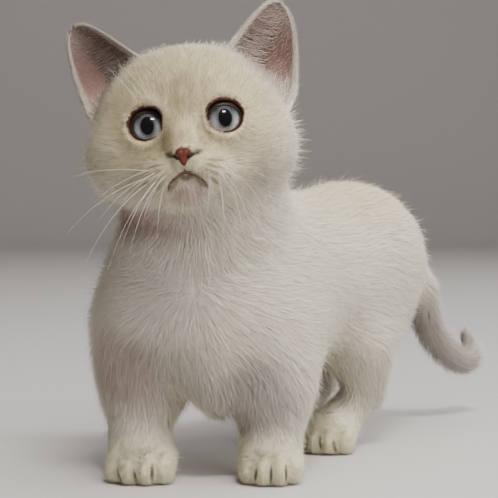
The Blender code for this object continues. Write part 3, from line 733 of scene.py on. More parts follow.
# %% Numbers and maps of a piece
def add_numbers(made, name, values):
    """One number for each point of a piece, which its material can read by name."""
    layer = made.data.attributes.new(name, "FLOAT", "POINT")
    layer.data.foreach_set("value", np.asarray(values, np.float32).ravel())


def add_map(made, name, per_corner):
    """A UV map from one pair for each face corner."""
    layer = made.data.uv_layers.new(name=name)
    layer.uv.foreach_set("vector", np.asarray(per_corner, np.float32).ravel())


# %% Faces of grids
def grid_faces(rows, columns, across=True, along=False):
    """Quads of a grid of rows x columns points; it closes onto itself across, along, or both ways."""
    i = np.arange(rows if along else rows - 1)[:, None]
    j = np.arange(columns if across else columns - 1)[None, :]
    right = (j + 1) % columns
    row, above = i * columns, (i + 1) % rows * columns
    return np.stack([row + j, row + right, above + right, above + j], -1).reshape(-1, 4)


def capped(grid, first, last):
    """A grid that closes across, with one point at each end: its points, quads and end triangles."""
    rows, columns = grid.shape[:2]
    points = np.concatenate([grid.reshape(-1, 3), [first, last]])
    j = np.arange(columns)
    k = (j + 1) % columns
    tip, last_row = np.full(columns, rows * columns), (rows - 1) * columns
    start = np.stack([tip, k, j], -1)
    end = np.stack([tip + 1, last_row + j, last_row + k], -1)
    return points, [grid_faces(rows, columns), np.concatenate([start, end])]


print("a tube of 3 rings of 6:", len(grid_faces(3, 6)), "quads")

# %% [markdown]
# ## Colours of the coat
# The kitten is ivory, with a white chest that is partly its own colour and partly a painted light on the
# chest's front. Its back, head and paws are creamier, and the tail, the neck, the legs and the backs of
# the ears are a warmer or cooler grey, partly their own and partly a painted shade under the chin and on
# the side away from the light. The forehead has a grey-beige patch with fine upright lines, and there
# is warm grey beside the nose, round the eyes and on the chin, partly darker fur and partly painted
# shade. Brown under the mouth's line, about the nostrils and in the creases between the toes is painted
# shade. One node group works all of that out from a point's place, so skin and coat carry the same
# marks.


# %% Node helpers
def node(tree, kind, inputs=None, **settings):
    """A node with its settings, and its inputs either set or linked."""
    made = tree.nodes.new(kind)
    for name, value in settings.items():
        setattr(made, name, value)
    for name, value in (inputs or {}).items():
        if isinstance(value, bpy.types.NodeSocket):
            tree.links.new(value, made.inputs[name])
        else:
            made.inputs[name].default_value = value
    return made


def object_coords(tree):
    """A place on the piece, in metres."""
    return node(tree, "ShaderNodeTexCoord").outputs["Object"]


def number_of(tree, name):
    """A number that add_numbers gave the piece."""
    return node(tree, "ShaderNodeAttribute", attribute_name=name).outputs["Fac"]


# %% Noise and masks
def noise(tree, scale, **inputs):
    """Cloudy noise of about 0 to 1 over the place on the piece."""
    place = {"Vector": object_coords(tree), "Scale": scale}
    return node(tree, "ShaderNodeTexNoise", place | inputs).outputs["Fac"]


def mapped(tree, value, low, high, start=0.0, end=1.0, curve="LINEAR"):
    """The value's way from low to high, as the way from start to end, and held at both ends."""
    ways = {"Value": value, "From Min": low, "From Max": high, "To Min": start, "To Max": end}
    return node(tree, "ShaderNodeMapRange", ways, interpolation_type=curve).outputs["Result"]


def smooth_mask(tree, value, low, high):
    """0 at low, 1 at high, and a smooth curve between them."""
    return mapped(tree, value, low, high, curve="SMOOTHSTEP")


# %% Patches of colour
def seen_from(tree, coords, centre, turn, scale):
    """Coordinates from a centre in millimetres, along turned axes, in units of the scale in metres."""
    place = {"Vector": coords, "Location": tuple(to_metres(centre)), "Scale": scale}
    place["Rotation"] = turned_angles(turn)
    return node(tree, "ShaderNodeMapping", place, vector_type="TEXTURE").outputs[0]


def patch(tree, coords, centre, radii, turn, soft=0.6):
    """1 in the middle of an ellipsoid patch, falling smoothly to 0 at its edge; it is placed in metres."""
    local = seen_from(tree, coords, centre, turn, tuple(np.array(radii) * MM))
    away = node(tree, "ShaderNodeVectorMath", {0: local}, operation="LENGTH")
    return smooth_mask(tree, away.outputs["Value"], 1.0, 1.0 - soft)


def turned_angles(turn):
    """The XYZ angles of a turn, as the Mapping node wants them."""
    x = math.atan2(turn[2, 1], turn[2, 2])
    y = math.asin(-turn[2, 0])
    return (x, y, math.atan2(turn[1, 0], turn[0, 0]))


def mixed(tree, first, second, share):
    """One colour laid over another by a share."""
    made = tree.nodes.new("ShaderNodeMix")
    made.data_type = "RGBA"
    colour_inputs = [s for s in made.inputs if s.type == "RGBA"]
    for socket, value in zip((made.inputs[0], *colour_inputs), (share, first, second)):
        if isinstance(value, bpy.types.NodeSocket):
            tree.links.new(value, socket)
        else:
            socket.default_value = value
    return [s for s in made.outputs if s.type == "RGBA"][0]


# %% Colours, and what a shader gets
def times(tree, value, factor):
    """A number times a constant, or times another number."""
    return node(tree, "ShaderNodeMath", {0: value, 1: factor}, operation="MULTIPLY").outputs[0]


def painted(tree, shader, colour, height=None, strength=0.3, distance=0.0003):
    """Gives a shader its colour and, from a height, small bumps."""
    tree.links.new(colour, shader.inputs["Base Color"])
    if height is not None:
        bump = node(tree, "ShaderNodeBump", {"Height": height, "Strength": strength, "Distance": distance})
        tree.links.new(bump.outputs[0], shader.inputs["Normal"])


def shade(red, green, blue):
    """A colour given in 0 to 255 as a screen shows it, as the linear numbers that shaders use."""
    value = np.array([red, green, blue]) / 255
    linear = np.where(value <= 0.04045, value / 12.92, ((value + 0.055) / 1.055) ** 2.4)
    return (*[float(v) for v in linear], 1.0)


# %% The markings
IVORY, CREAM, PAW_CREAM = shade(241, 232, 212), shade(240, 224, 182), shade(255, 246, 200)
SMOKE, BEIGE, ROSE = shade(154, 136, 102), shade(212, 194, 156), shade(206, 172, 158)
UMBER, DARK, MAUVE, WHITE = shade(84, 60, 46), shade(38, 26, 20), shade(184, 158, 150), shade(255, 249, 236)
TAUPE, HEAD_CREAM, ASH = shade(160, 138, 130), shade(219, 203, 157), shade(172, 160, 157)


def coat_colour_group():
    """Colour of skin and coat at each place: ivory, with each patch of the list laid over it."""
    tree = bpy.data.node_groups.new("kitten_markings", "ShaderNodeTree")
    tree.interface.new_socket("Colour", in_out="OUTPUT", socket_type="NodeSocketColor")
    coords = object_coords(tree)
    lines = seen_from(tree, coords, HEAD_AT, HEAD_TURN, (0.0062,) * 3)
    waves = {"Vector": lines, "Scale": 0.31, "Distortion": 1.5, "Detail": 2.0, "Detail Scale": 1.0}
    stripes = node(tree, "ShaderNodeTexWave", waves, bands_direction="X")
    colour = IVORY
    head, muzzle, chest, level = HEAD_TURN, MUZZLE_TURN, CHEST_TURN, np.eye(3)
    marks = [
        ((-2, 30, 122), (60, 95, 42), level, CREAM, 0.7),
        (from_head((0, -20, 6)), (50, 48, 44), head, HEAD_CREAM, 1.0),
        (from_head((26, -22, -14)), (18, 20, 16), head, MAUVE, 0.25),
        (from_head((0, -28, 15)), (15, 13, 20), head, SMOKE, 0.22),
        (from_head((0.5, -30, 12)), (7, 12, 15), head, SMOKE, 0.8),
        (from_head((7.8, -28, 13.5)), (2.1, 12, 6.5), head, SMOKE, 0.45),
        (from_head((-7.8, -28, 13.5)), (2.1, 12, 6.5), head, SMOKE, 0.45),
        # Smoke beside the nose bridge: partly darker fur, partly a painted shade, a little stronger on the
        # right side, away from the light.
        (from_head((6.2, -32, -3)), (4.2, 9, 8), head, SMOKE, 0.45),
        (from_head((-6.2, -32, -3)), (4.2, 9, 8), head, SMOKE, 0.55),
        (from_muzzle((0, -36, -6.0)), (5.5, 9, 5.5), muzzle, SMOKE, 0.35),
        (from_head((21, -20, -9)), (12, 12, 7), head, BEIGE, 0.5),
        (from_head((-21, -20, -9)), (12, 12, 7), head, BEIGE, 0.5),
        # Mauve on the chin: partly its own colour, partly a painted shade under the muzzle.
        (from_muzzle((0, -30, -24)), (9, 13, 6.5), muzzle, MAUVE, 0.8),
        # Umber under the mouth's line: a painted shadow of the upper lip and the whisker pads.
        (from_muzzle((0, -36, -18.2)), (4.0, 16, 2.2), muzzle, UMBER, 0.9),
        (from_muzzle((4.9, -34, -20.4)), (4.6, 16, 1.8), muzzle @ turning(0, 0, 44), UMBER, 0.75),
        (from_muzzle((-4.9, -34, -20.4)), (4.6, 16, 1.8), muzzle @ turning(0, 0, -44), UMBER, 0.75),
        # Umber about the nose's top: partly darker fur, partly a painted shade by the nostrils.
        (from_muzzle((0, -38, -10.0)), (7.0, 10, 3.0), muzzle, UMBER, 0.5),
        (from_muzzle((0, -38, -15.8)), (1.7, 8, 3.2), muzzle, ROSE, 0.8),
        # Mauve and taupe on the neck: partly the neck's own mauve-grey, mostly a painted shade under the chin.
        (np.array([-4, -84, 108]), (38, 34, 22), level, MAUVE, 0.95),
        (np.array([-10, -84, 110]), (26, 30, 18), level, TAUPE, 0.8),
        # Ash and mauve on the legs and the bib: partly their own grey, partly a painted shade, strongest on
        # the right foreleg, away from the light.
        (np.array([-8, -80, 42]), (40, 36, 24), level, ASH, 0.4),
        (np.array([-24, -84, 46]), (22, 36, 24), level, MAUVE, 0.6),
        (np.array([20, -56, 34]), (24, 28, 26), level, ASH, 0.8),
        # A white chest: partly the coat's own colour, partly a painted light on the chest's front.
        (np.array([-3, -92, 77]), (36, 28, 27), chest, WHITE, 1.0),
        # Ash on the tail: partly its own grey, partly a painted shade.
        (np.array([4, 122, 44]), (26, 50, 50), level, ASH, 1.0),
    ]
    for side in (1, -1):
        # Taupe on the ears' backs: partly their own colour, partly a painted shade.
        marks.append((from_head((side * 34, 0, 32)), (20, 20, 27), head, TAUPE, 0.95))
        # Smoke and umber round each eye, raised above it: partly dark fur by the lids, partly a painted shadow
        # under the brow above each eye.
        eye = from_head((EYE_AT + GAZE * 8.5 + (0, 0, 0.7)) * (side, 1, 1))
        marks.append((eye, (10.4, 16, 9.7), head, SMOKE, 0.4))
        marks.append((eye + HEAD_TURN @ (0, 0, 1.4), (9.8, 16, 9.0), head, UMBER, 1.0))
        # A dark streak along each wing of the nose: a painted shade of the nostril's slit.
        along_wing = muzzle @ turning(0, 0, -20 * side)
        marks.append((from_muzzle((side * 4.2, -38, -10.5)), (3.9, 14, 1.5), along_wing, DARK, 0.8))
        for k in range(4):
            whisker_row = from_muzzle((side * (10.8 - 0.5 * k), -34, -13.4 - 2.3 * k))
            along_row = muzzle @ turning(0, 0, side * (6 + 12 * k))
            marks.append((whisker_row, (4.4, 20, 0.85), along_row, UMBER, 0.55))
    # Dark marks between the toes are a painted shade in the creases there.
    crease = np.random.default_rng(11)
    for legs, toes in ((FRONT_LEGS, FRONT_TOES), (HIND_LEGS, HIND_TOES)):
        for leg in legs.values():
            turn, spread = turning(leg["yaw"]), leg.get("spread", 1.0)
            marks.append((np.array(leg["paw"]), (32, 34, 24), level, PAW_CREAM, 1.0))
            for (x, y), (next_x, next_y) in zip(toes[:-1], toes[1:]):
                between = (x + next_x) / 2 * spread, (y + next_y) / 2 - 5.5
                middle = np.array([*between, crease.uniform(3.6, 5.6)])
                size = (crease.uniform(0.75, 1.0), 5.0, crease.uniform(3.8, 6.2))
                upright = turn @ turning(0, 0, crease.uniform(-13, 13))
                marks.append((leg["paw"] + turn @ middle, size, upright, DARK, 0.9))
    for centre, radii, turn, over, share in marks:
        mask = patch(tree, coords, centre, radii, turn)
        colour = mixed(tree, colour, over, times(tree, mask, share))
    forehead = patch(tree, coords, from_head((0, -26, 19)), (15, 14, 15), head)
    lined = times(tree, forehead, stripes.outputs["Fac"])
    colour = mixed(tree, colour, SMOKE, times(tree, lined, 0.16))
    mottle = mapped(tree, noise(tree, 45.0, Detail=3.0, Roughness=0.6), 0.35, 0.7)
    colour = mixed(tree, colour, BEIGE, times(tree, mottle, 0.12))
    out = node(tree, "NodeGroupOutput")
    tree.links.new(colour, out.inputs["Colour"])
    return tree


MARKINGS = coat_colour_group()
print("markings:", len(MARKINGS.nodes), "nodes")


# %% Finishes of skin and coat
def markings_in(tree):
    """The markings' colour, in a material."""
    used = tree.nodes.new("ShaderNodeGroup")
    used.node_tree = MARKINGS
    return used.outputs["Colour"]


def skin_finish():
    """The skin: the coat's colours, dark by the lids' edges and in the mouth's groove, and dark in a wider
    band above each eye as a painted shade, over a fine, uneven nap.
    """
    made, tree, shader = new_material("kitten_skin", Roughness=0.8, Specular_IOR_Level=0.2)
    rosy = mixed(tree, markings_in(tree), ROSE, 0.25)
    colour = mixed(tree, rosy, shade(58, 40, 32), number_of(tree, "lid"))
    painted(tree, shader, colour, noise(tree, 1400.0, Detail=3.0), 0.5, 0.0006)
    return made


def coat_finish(name, root_painted_shade, root_share):
    """A tuft: the markings' colour, darkened towards its root as a painted shade of the coat's depth, and
    lighter or darker by its tone.
    """
    thin = {"Subsurface_Weight": 0.35, "Subsurface_Radius": (1.0, 0.9, 0.75), "Subsurface_Scale": 0.0008}
    made, tree, shader = new_material(name, Roughness=0.62, Specular_IOR_Level=0.2, **thin)
    painted_root_shade_share = mapped(tree, number_of(tree, "tip"), 0.0, 0.7, root_share, 0.0)
    colour = mixed(tree, markings_in(tree), root_painted_shade, painted_root_shade_share)
    light = mapped(tree, number_of(tree, "tone"), 0.0, 1.0, 0.6, 1.07)
    painted(tree, shader, node(tree, "ShaderNodeHueSaturation", {"Color": colour, "Value": light}).outputs[0])
    return made


SKIN_FINISH = skin_finish()
# Each coat's root colour is a painted shade deep in the coat.
COAT_FINISH = coat_finish("kitten_coat", shade(206, 186, 152), 0.5)
PAW_FINISH = coat_finish("kitten_paw_coat", shade(232, 206, 140), 0.3)
print("finishes:", SKIN_FINISH.name, COAT_FINISH.name, PAW_FINISH.name)

# %% [markdown]
# ## Skin
# One skin takes the place of all the solid nodes of flesh, so that no seam shows between head, body,
# legs and tail. Its map is laid out by body part, each part as two discs seen from its two sides.


# %% Body parts and their maps
LIMBS = [f"{end}_{side}" for end in ("front", "hind") for side in ("left", "right")]
PARTS = ["head", "torso", *LIMBS, "tail"]
PART_FRAMES = {
    "head": (HEAD_AT, HEAD_TURN, (37, 34, 34), 1, -1),
    "torso": (np.array([-4.0, -12.0, 74.0]), np.eye(3), (40, 90, 50), 0, 1),
    "front_left": (np.array([17.0, -43.0, 26.0]), np.eye(3), (14, 14, 30), 1, -1),
    "front_right": (np.array([-25.0, -66.0, 26.0]), np.eye(3), (14, 14, 30), 1, -1),
    "hind_left": (np.array([10.0, 36.0, 34.0]), np.eye(3), (12, 20, 36), 0, 1),
    "hind_right": (np.array([-22.0, 42.0, 34.0]), np.eye(3), (12, 20, 36), 0, 1),
}


def part_of(points):
    """The number of the body part whose form is nearest."""
    neck = rod(points, (-4, -51, 93), (9, -75, 126), 36, 31)
    forms = [head_distance(points) + 1, np.minimum(torso_distance(points), neck)]
    forms += [front_leg_distance(points, FRONT_LEGS[side]) for side in ("left", "right")]
    forms += [hind_leg_distance(points, HIND_LEGS[side]) for side in ("left", "right")]
    return np.argmin(forms + [tail_distance(points)], axis=0)


def along_tail(points):
    """How far along the tail's path a point lies, as a path index, and the path's direction there."""
    start, step = TAIL_PATH[:-1], np.diff(TAIL_PATH, axis=0)
    from_start = points[:, None] - start
    t = np.clip((from_start * step).sum(-1) / (step**2).sum(-1), 0, 1)
    away = ((from_start - t[..., None] * step) ** 2).sum(-1)
    best = np.argmin(away, axis=1)
    spot = best + t[np.arange(len(points)), best]
    return spot, unit(step[best])


# %% Places on the maps
def part_side(part, points):
    """Which of a part's two discs a place belongs to."""
    if part == "tail":
        return points[:, 0] < np.interp(along_tail(points)[0], np.arange(len(TAIL_PATH)), TAIL_PATH[:, 0])
    centre, turn, radii, axis, sign = PART_FRAMES[part]
    return ((points - centre) @ turn)[:, axis] * sign < 0


def part_map(part, far, points):
    """A place on its part's map: the angle from the part's axis is the distance from the disc's middle. The
    tail's two maps are strips, with the tail's length along u."""
    if part == "tail":
        spot, ahead = along_tail(points)
        middle = np.stack([np.interp(spot, np.arange(len(TAIL_PATH)), TAIL_PATH[:, i]) for i in range(3)], 1)
        around = points - middle
        out = np.cross(ahead, (1.0, 0.0, 0.0))
        angle = np.arctan2((around * out).sum(1), np.abs(around[:, 0]) + 0.01)
        u = 0.03 + 0.94 * spot / (len(TAIL_PATH) - 1)
        return np.stack([u, 0.25 + 0.5 * far + 0.21 * angle / (math.pi / 2)], 1)
    centre, turn, radii, axis, sign = PART_FRAMES[part]
    ray = unit(((points - centre) @ turn) / np.array(radii))
    others = [a for a in range(3) if a != axis]
    toward = ray[:, axis] * np.where(far, -sign, sign)
    reach = np.arccos(np.clip(toward, -1, 1)) / (math.pi / 2) * 0.46
    flat = np.maximum(np.hypot(ray[:, others[0]], ray[:, others[1]]), 1e-6)
    across = ray[:, others[0]] / flat * np.where(far, -1, 1)
    return np.stack([0.25 + 0.5 * far + 0.5 * reach * across, 0.5 + reach * ray[:, others[1]] / flat], 1)


print("tail's middle line:", len(TAIL_PATH), "places")

# %% Skin piece
FLESH = ["head", "neck", "chest", "belly", "hips", "tail_root", "tail_tip"]
FLESH += [f"{limb}_{what}" for limb in LIMBS for what in ("leg", "paw")]
skin = piece_of("kitten_skin", skin_points, [skin_quads], SKIN_FINISH, "coat", FLESH)
along, away, edge = eye_offset(skin_points)
# The dark band by each lid is the lids' own dark edge, widened above the eye as a painted shade on the ledge
# there.
above = ramp(to_head(skin_points)[:, 2] - EYE_AT[2], -2.0, 4.0)
dark_skin_and_painted_shade = (1 - ramp(away - edge - 0.8 * above, 0.1, 0.8)) * (along > 0)
by_mouth = at_muzzle(skin_points)
in_groove = 0.7 - 0.7 * ramp(near_path(skin_points[by_mouth], LIP_PATH, 0), 0.6, 1.5)
dark_skin_and_painted_shade[by_mouth] = np.maximum(dark_skin_and_painted_shade[by_mouth], in_groove)
add_numbers(skin, "lid", dark_skin_and_painted_shade)
quad_middles = skin_points[skin_quads].mean(1)
quad_parts = part_of(quad_middles)
skin_map = np.zeros((len(skin_quads), 4, 2))
for number, part in enumerate(PARTS):
    chosen = quad_parts == number
    far = np.repeat(part_side(part, quad_middles[chosen]), 4)
    uv = part_map(part, far, skin_points[skin_quads[chosen]].reshape(-1, 3))
    tile = np.array([number % 2, number // 2])
    skin_map[chosen] = ((uv + tile) / (2, 4)).reshape(-1, 4, 2)
add_map(skin, "OFBake", skin_map)
print("skin parts:", dict(zip(PARTS, np.bincount(quad_parts, minlength=7).tolist())))

# %% [markdown]
# ## How the coat lies
# Fur has a lie: on the head it runs away from the nose, along the back towards the tail, and down the
# legs. On a kitten's chest it parts from a whorl. Each tuft leans along that lie, with a slow wander,
# and its tip is drawn a little towards its neighbours, as hairs of one lock are.

# %% Lie of the coat
WHORL = np.array([17.0, -88.0, 78.0])
BACK_LIE, LEG_LIE = np.array([0.0, 1.0, -0.38]), np.array([0.0, 0.18, -1.0])


def ripple(points, length, seed):
    """A smooth random value of about -1 to 1: the mean of eight sine waves of about that length."""
    draw = np.random.default_rng(seed)
    waves = unit(draw.normal(size=(8, 3))) * 2 * math.pi / length
    waves *= draw.uniform(0.7, 1.4, (8, 1))
    return np.sin(points @ waves.T + draw.uniform(0, 6.28, 8)).sum(1) / 2.8


def flattened(vectors, normals):
    """Vectors with their part along the normals taken out, at length 1."""
    return unit(vectors - (vectors * normals).sum(1, keepdims=True) * normals)


def lie_of(points, normals):
    """The way that the coat leans at each place, along the surface."""
    head = near_head(points, 54)
    low = (1 - ramp(points[:, 2], 34, 60)) * (1 - ramp(points[:, 1], 70, 88))
    from_whorl = points - WHORL
    near = 0.8 * (1 - ramp(np.linalg.norm(from_whorl, axis=1), 8, 48)) * (1 - head) * (1 - low)
    spot, ahead = along_tail(points)
    way = BACK_LIE * np.ones((len(points), 1))
    way = blended(way, LEG_LIE, low[:, None])
    way = blended(way, ahead, ramp(points[:, 1], 66, 92)[:, None])
    way = blended(way, from_whorl / 25 * (1.0, 1.0, 0.9), near[:, None])
    way = blended(way, (points - NOSE_TIP) / 20, head[:, None])
    way = blended(way, from_eye_line(points) * 2.5, beside_eye(eye_offset(points), 0.5, 4.5)[:, None])
    return flattened(way, normals)


def tilted(vectors, normals, angle):
    """Vectors turned about the normals by an angle in radians."""
    side = np.cross(normals, vectors)
    return vectors * np.cos(angle)[:, None] + side * np.sin(angle)[:, None]


# %% Roots on the skin
def scattered(points, normals, quads, density, draw):
    """Random places on quads, so many for each square millimetre, with the surface's normals there."""
    corners = points[quads]
    diagonals = corners[:, 2] - corners[:, 0], corners[:, 3] - corners[:, 1]
    area = np.linalg.norm(np.cross(*diagonals), axis=1) / 2
    count = (area * density + draw.random(len(quads))).astype(int)
    chosen = np.repeat(np.arange(len(quads)), count)
    s, t = draw.random((2, len(chosen)))
    share = np.stack([(1 - s) * (1 - t), s * (1 - t), s * t, (1 - s) * t], 1)[..., None]
    place = (corners[chosen] * share).sum(1)
    return place, unit((normals[quads[chosen]] * share).sum(1)), chosen, share


def bare(points):
    """True where no fur grows: on the eyes' lids, in the mouth's line, on the nose and under the paws."""
    along, away, edge = eye_offset(points)
    lids = (along > 0) & (away < edge + 0.3)
    near = at_muzzle(points)
    mouth = np.zeros(len(points), bool)
    close = points[near]
    lines = [near_path(close, LIP_PATH, 0.7), near_path(close, PHILTRUM_PATH, 0.35)]
    lines.append(nose_distance(close) - 0.1)
    lines += [near_path(close, path, 0.45) for path in SLIT_PATHS]
    mouth[near] = np.min(lines, axis=0) < 0
    return lids | mouth | (points[:, 2] < 1.2)


# %% [markdown]
# ## Tufts
# Each tuft is a thin closed spike with three sides. A short one is straight, with 4 triangles. A
# longer one bends once, with 10. They are worked out all together: roots are drawn at random on the
# skin, then the middle and the tip of each follow from the lie, the coat's depth and its lean.


# %% Spikes
def spike_faces(bends):
    """Triangles of one spike: points 0 to 2 are its foot, 3 to 5 its middle if it bends, the last its tip."""
    if not bends:
        return np.array([(0, 2, 1), (0, 1, 3), (1, 2, 3), (2, 0, 3)])
    edges = ((0, 1), (1, 2), (2, 0))
    sides = [(a, b, b + 3) for a, b in edges] + [(a, b + 3, a + 3) for a, b in edges]
    return np.array([(0, 2, 1), *sides, (3, 4, 6), (4, 5, 6), (5, 3, 6)])


def spike_points(root, middle, tip, width, up, over, bends, round_by=0.14):
    """Points of many spikes: three round the root, three round the middle, and the tip. Their shading
    normals are those of the skin at the root and of the coat's surface beyond it, so that the coat shades
    as one form. Both side edges turn outwards by round_by, so that each tuft still looks round."""
    ahead = tip - root
    side = unit(np.cross(up, ahead))
    rise = unit(np.cross(ahead, side))
    w = width[:, None]
    foot = [root + side * w * 0.5, root + rise * w * 0.45, root - side * w * 0.5]
    waist = [middle + side * w * 0.42, middle + rise * w * 0.36, middle - side * w * 0.42]
    bulge = side * np.asarray(round_by).reshape(-1, 1)
    low, high = ([way + bulge, way + rise * 0.1, way - bulge] for way in (up, over))
    if bends:
        points, normals = foot + waist + [tip], low + high + [over]
    else:
        points, normals = foot + [tip], low + [over]
    return np.stack(points, 1), np.stack(normals, 1)


COAT_TOTAL = []


def tuft_piece(name, spikes, bends, uv, tone, finish, slot):
    """One coat piece from the points of many spikes, with its small patches on the bake's map."""
    points, normals = spikes
    count, each = points.shape[:2]
    pattern = spike_faces(bends)
    faces = (np.arange(count)[:, None, None] * each + pattern).reshape(-1, 3)
    made = piece_of(name, points.reshape(-1, 3), [faces], finish, slot)
    across = np.array([-0.0013, 0.0, 0.0013] * (2 if bends else 1) + [0.0])
    upward = np.array([-0.0014] * 3 + ([0.0] * 3 if bends else []) + [0.0014])
    patches = uv[:, None] + np.stack([across, upward], 1)
    add_map(made, "OFBake", patches.reshape(-1, 2)[faces.ravel()])
    rise = np.array([0.0] * 3 + ([0.55] * 3 if bends else []) + [1.0])
    add_numbers(made, "tip", np.tile(rise, count))
    add_numbers(made, "tone", np.repeat(tone, each))
    made.data.normals_split_custom_set_from_vertices(unit(normals.reshape(-1, 3)))
    COAT_TOTAL.append(len(faces))
    return made


# %% The coat's roots
def cover_of(points, depth):
    """How many layers of tufts lie over each other: more where the coat is short, fewer on face and paws."""
    layers = 4.9 + 1.6 * (1 - ramp(depth, 1.2, 3.6)) - 1.5 * ramp(depth, 2.4, 4.2)
    return layers - 1.6 * near_head(points, 50) * ramp(depth, 0.8, 1.6) - 2.7 * by_paw(points)


def by_tail(points):
    """1 on the tail, 0 on the hips."""
    return ramp(points[:, 1], 80, 100)


def by_paw(points):
    """1 on the paws, 0 above them and on the tail."""
    return (1 - ramp(points[:, 2], 11, 22)) * (1 - ramp(points[:, 1], 78, 92))


# %% How wide and how steep a tuft is
def lean_of(points, depth):
    """How steeply tufts stand, in radians: low on the face, steeper on cheeks, deep fur and paws."""
    local = to_head(points)
    cheek = near_head(points, 54) * ramp(np.abs(local[:, 0]), 18, 34) * (1 - ramp(local[:, 2], 4, 22))
    return np.radians(17 + 7 * ramp(depth, 2.4, 4.2) + 7 * cheek + 26 * by_paw(points))


def width_of(depth):
    """How wide a tuft is at its root: finer where the coat is short."""
    return 0.3 - 0.1 * ramp(1.5 - depth, 0, 1) + 0.03 * ramp(depth, 3, 5)


quad_depth = coat_depth(quad_middles)
quad_width = width_of(quad_depth)
quad_lean = lean_of(quad_middles, quad_depth)
quad_density = 2 * cover_of(quad_middles, quad_depth) * np.tan(quad_lean) / (quad_width * quad_depth)
quad_density[bare(quad_middles) & ~at_muzzle(quad_middles)] = 0
roots, root_normals, root_quads, _ = scattered(skin_points, skin_normals, skin_quads, quad_density, RNG)
growing = ~bare(roots)
roots, root_normals, root_quads = roots[growing], root_normals[growing], root_quads[growing]
root_parts = quad_parts[root_quads]
depth = coat_depth(roots)
bent = (depth > 2.4) & (RNG.random(len(roots)) < 0.1)
print("tufts:", len(roots), "bent:", int(bent.sum()))


# %% Locks
def locks_of(points, size):
    """The mean place of the tufts that share a lock: those in one cell of a warped lattice."""
    warp = np.stack([ripple(points, size * 3.1, 40 + k) for k in range(3)], 1) * size * 0.6
    cell = np.floor((points + warp) / size).astype(int)
    _, which = np.unique(cell, axis=0, return_inverse=True)
    which = which.ravel()
    count = np.bincount(which)
    return np.stack([np.bincount(which, points[:, k])[which] / count[which] for k in range(3)], 1)


def lock_tone(points, size):
    """A random number of about -1 to 1 that the tufts of one lock share, from their lock's mean place."""
    return ripple(locks_of(points, size), size, 17)


# %% From roots to tips
def grown(points, normals, depth, length, lean, wander, lock_size, lock_pull):
    """Roots, middles and tips of tufts. A tip reaches as far along the lie as its height over the tangent
    of its lean, is drawn towards its lock, then moves along the normal to its own height in the coat."""
    wave = ripple(points, 30, 3) * 0.2 + ripple(points, 9, 5) * 0.12
    head = near_head(points)
    turn = RNG.normal(0, 1, len(points)) * (wander + 0.07 * head + 0.3 * by_paw(points))
    lie = tilted(lie_of(points, normals), normals, wave + turn)
    height = depth * length
    reach = height / np.tan(lean) * (1 - 0.4 * ramp(points[:, 1], 140, 146))
    face = at_muzzle(points)
    reach[face] *= 0.4 + 0.6 * ramp(near_path(points[face], LIP_PATH, 0), 0.8, 4.5)
    root = points - normals * ROOT_SUNK
    middle = points + lie * (reach * 0.5)[:, None] + normals * (height * MIDDLE_UP)[:, None]
    tip = points + lie * reach[:, None] + normals * height[:, None]
    pull = (locks_of(points, lock_size) - points) * (lock_pull + 0.25 * head)[:, None]
    pull -= (pull * normals).sum(1, keepdims=True) * normals
    pull *= 1 - beside_eye(eye_offset(points), 0.5, 3.5)[:, None]
    middle, tip = middle + pull * 0.4, tip + pull
    for place, part in ((middle, MIDDLE_UP), (tip, 1.0)):
        sunk = body_distance(place) + coat_depth(place) * (1 - length * part)
        place -= normals * np.clip(sunk, -3, 6)[:, None]
        place[:, 2] = np.maximum(place[:, 2], 0.3)
    return root, middle, tip


ROOT_SUNK, MIDDLE_UP = 0.35, 0.66
length = RNG.uniform(0.84, 1.06, len(roots)) + ripple(locks_of(roots, 5.0), 7.0, 8) * 0.08
paw_clumps = ripple(locks_of(roots, 1.3), 2.0, 9)
length += by_tail(roots) * RNG.exponential(0.15, len(roots))
length += by_paw(roots) * (RNG.uniform(-0.15, 0.3, len(roots)) + 0.35 * paw_clumps)
lean = lean_of(roots, depth) * RNG.uniform(0.8, 1.25, len(roots))
root, middle, tip = grown(roots, root_normals, depth, length, lean, 0.13, 2.2, 0.1)
width = width_of(depth) * RNG.uniform(0.7, 1.3, len(roots))
on_head = near_head(roots)
tone = 0.82 - 0.14 * on_head + (0.05 + 0.15 * on_head) * RNG.normal(size=len(roots))
clump = RNG.random(len(roots)) < 0.22 * on_head
width = np.where(clump, 1.9 * width, width)
tone += clump * RNG.normal(0, 0.32, len(roots))
tone = tone + (0.05 + 0.4 * on_head) * lock_tone(roots, 1.1)
tone += by_tail(roots) * (0.3 * ripple(locks_of(roots, 1.5), 2.5, 12) - 0.15)
paw_tone = 0.3 * ripple(locks_of(roots, 1.0), 2.0, 9) + RNG.normal(0, 0.15, len(roots))
tone = np.clip(tone + by_paw(roots) * paw_tone, 0, 1)
print("mean tuft, mm from root to tip:", np.round(np.linalg.norm(tip - root, axis=1).mean(), 2))


# %% Longer single hairs that stand out of the coat's outline
def by_ear(local):
    """1 along the foot of the ears, in the head's frame, falling to 0 a centimetre away."""
    foot = EAR_INNER - (0, 2, 2), EAR_OUTER[1] - (4, 2, 0)
    return 1 - ramp(rod(both_sides(local), *foot, 0, 0), 4, 11)


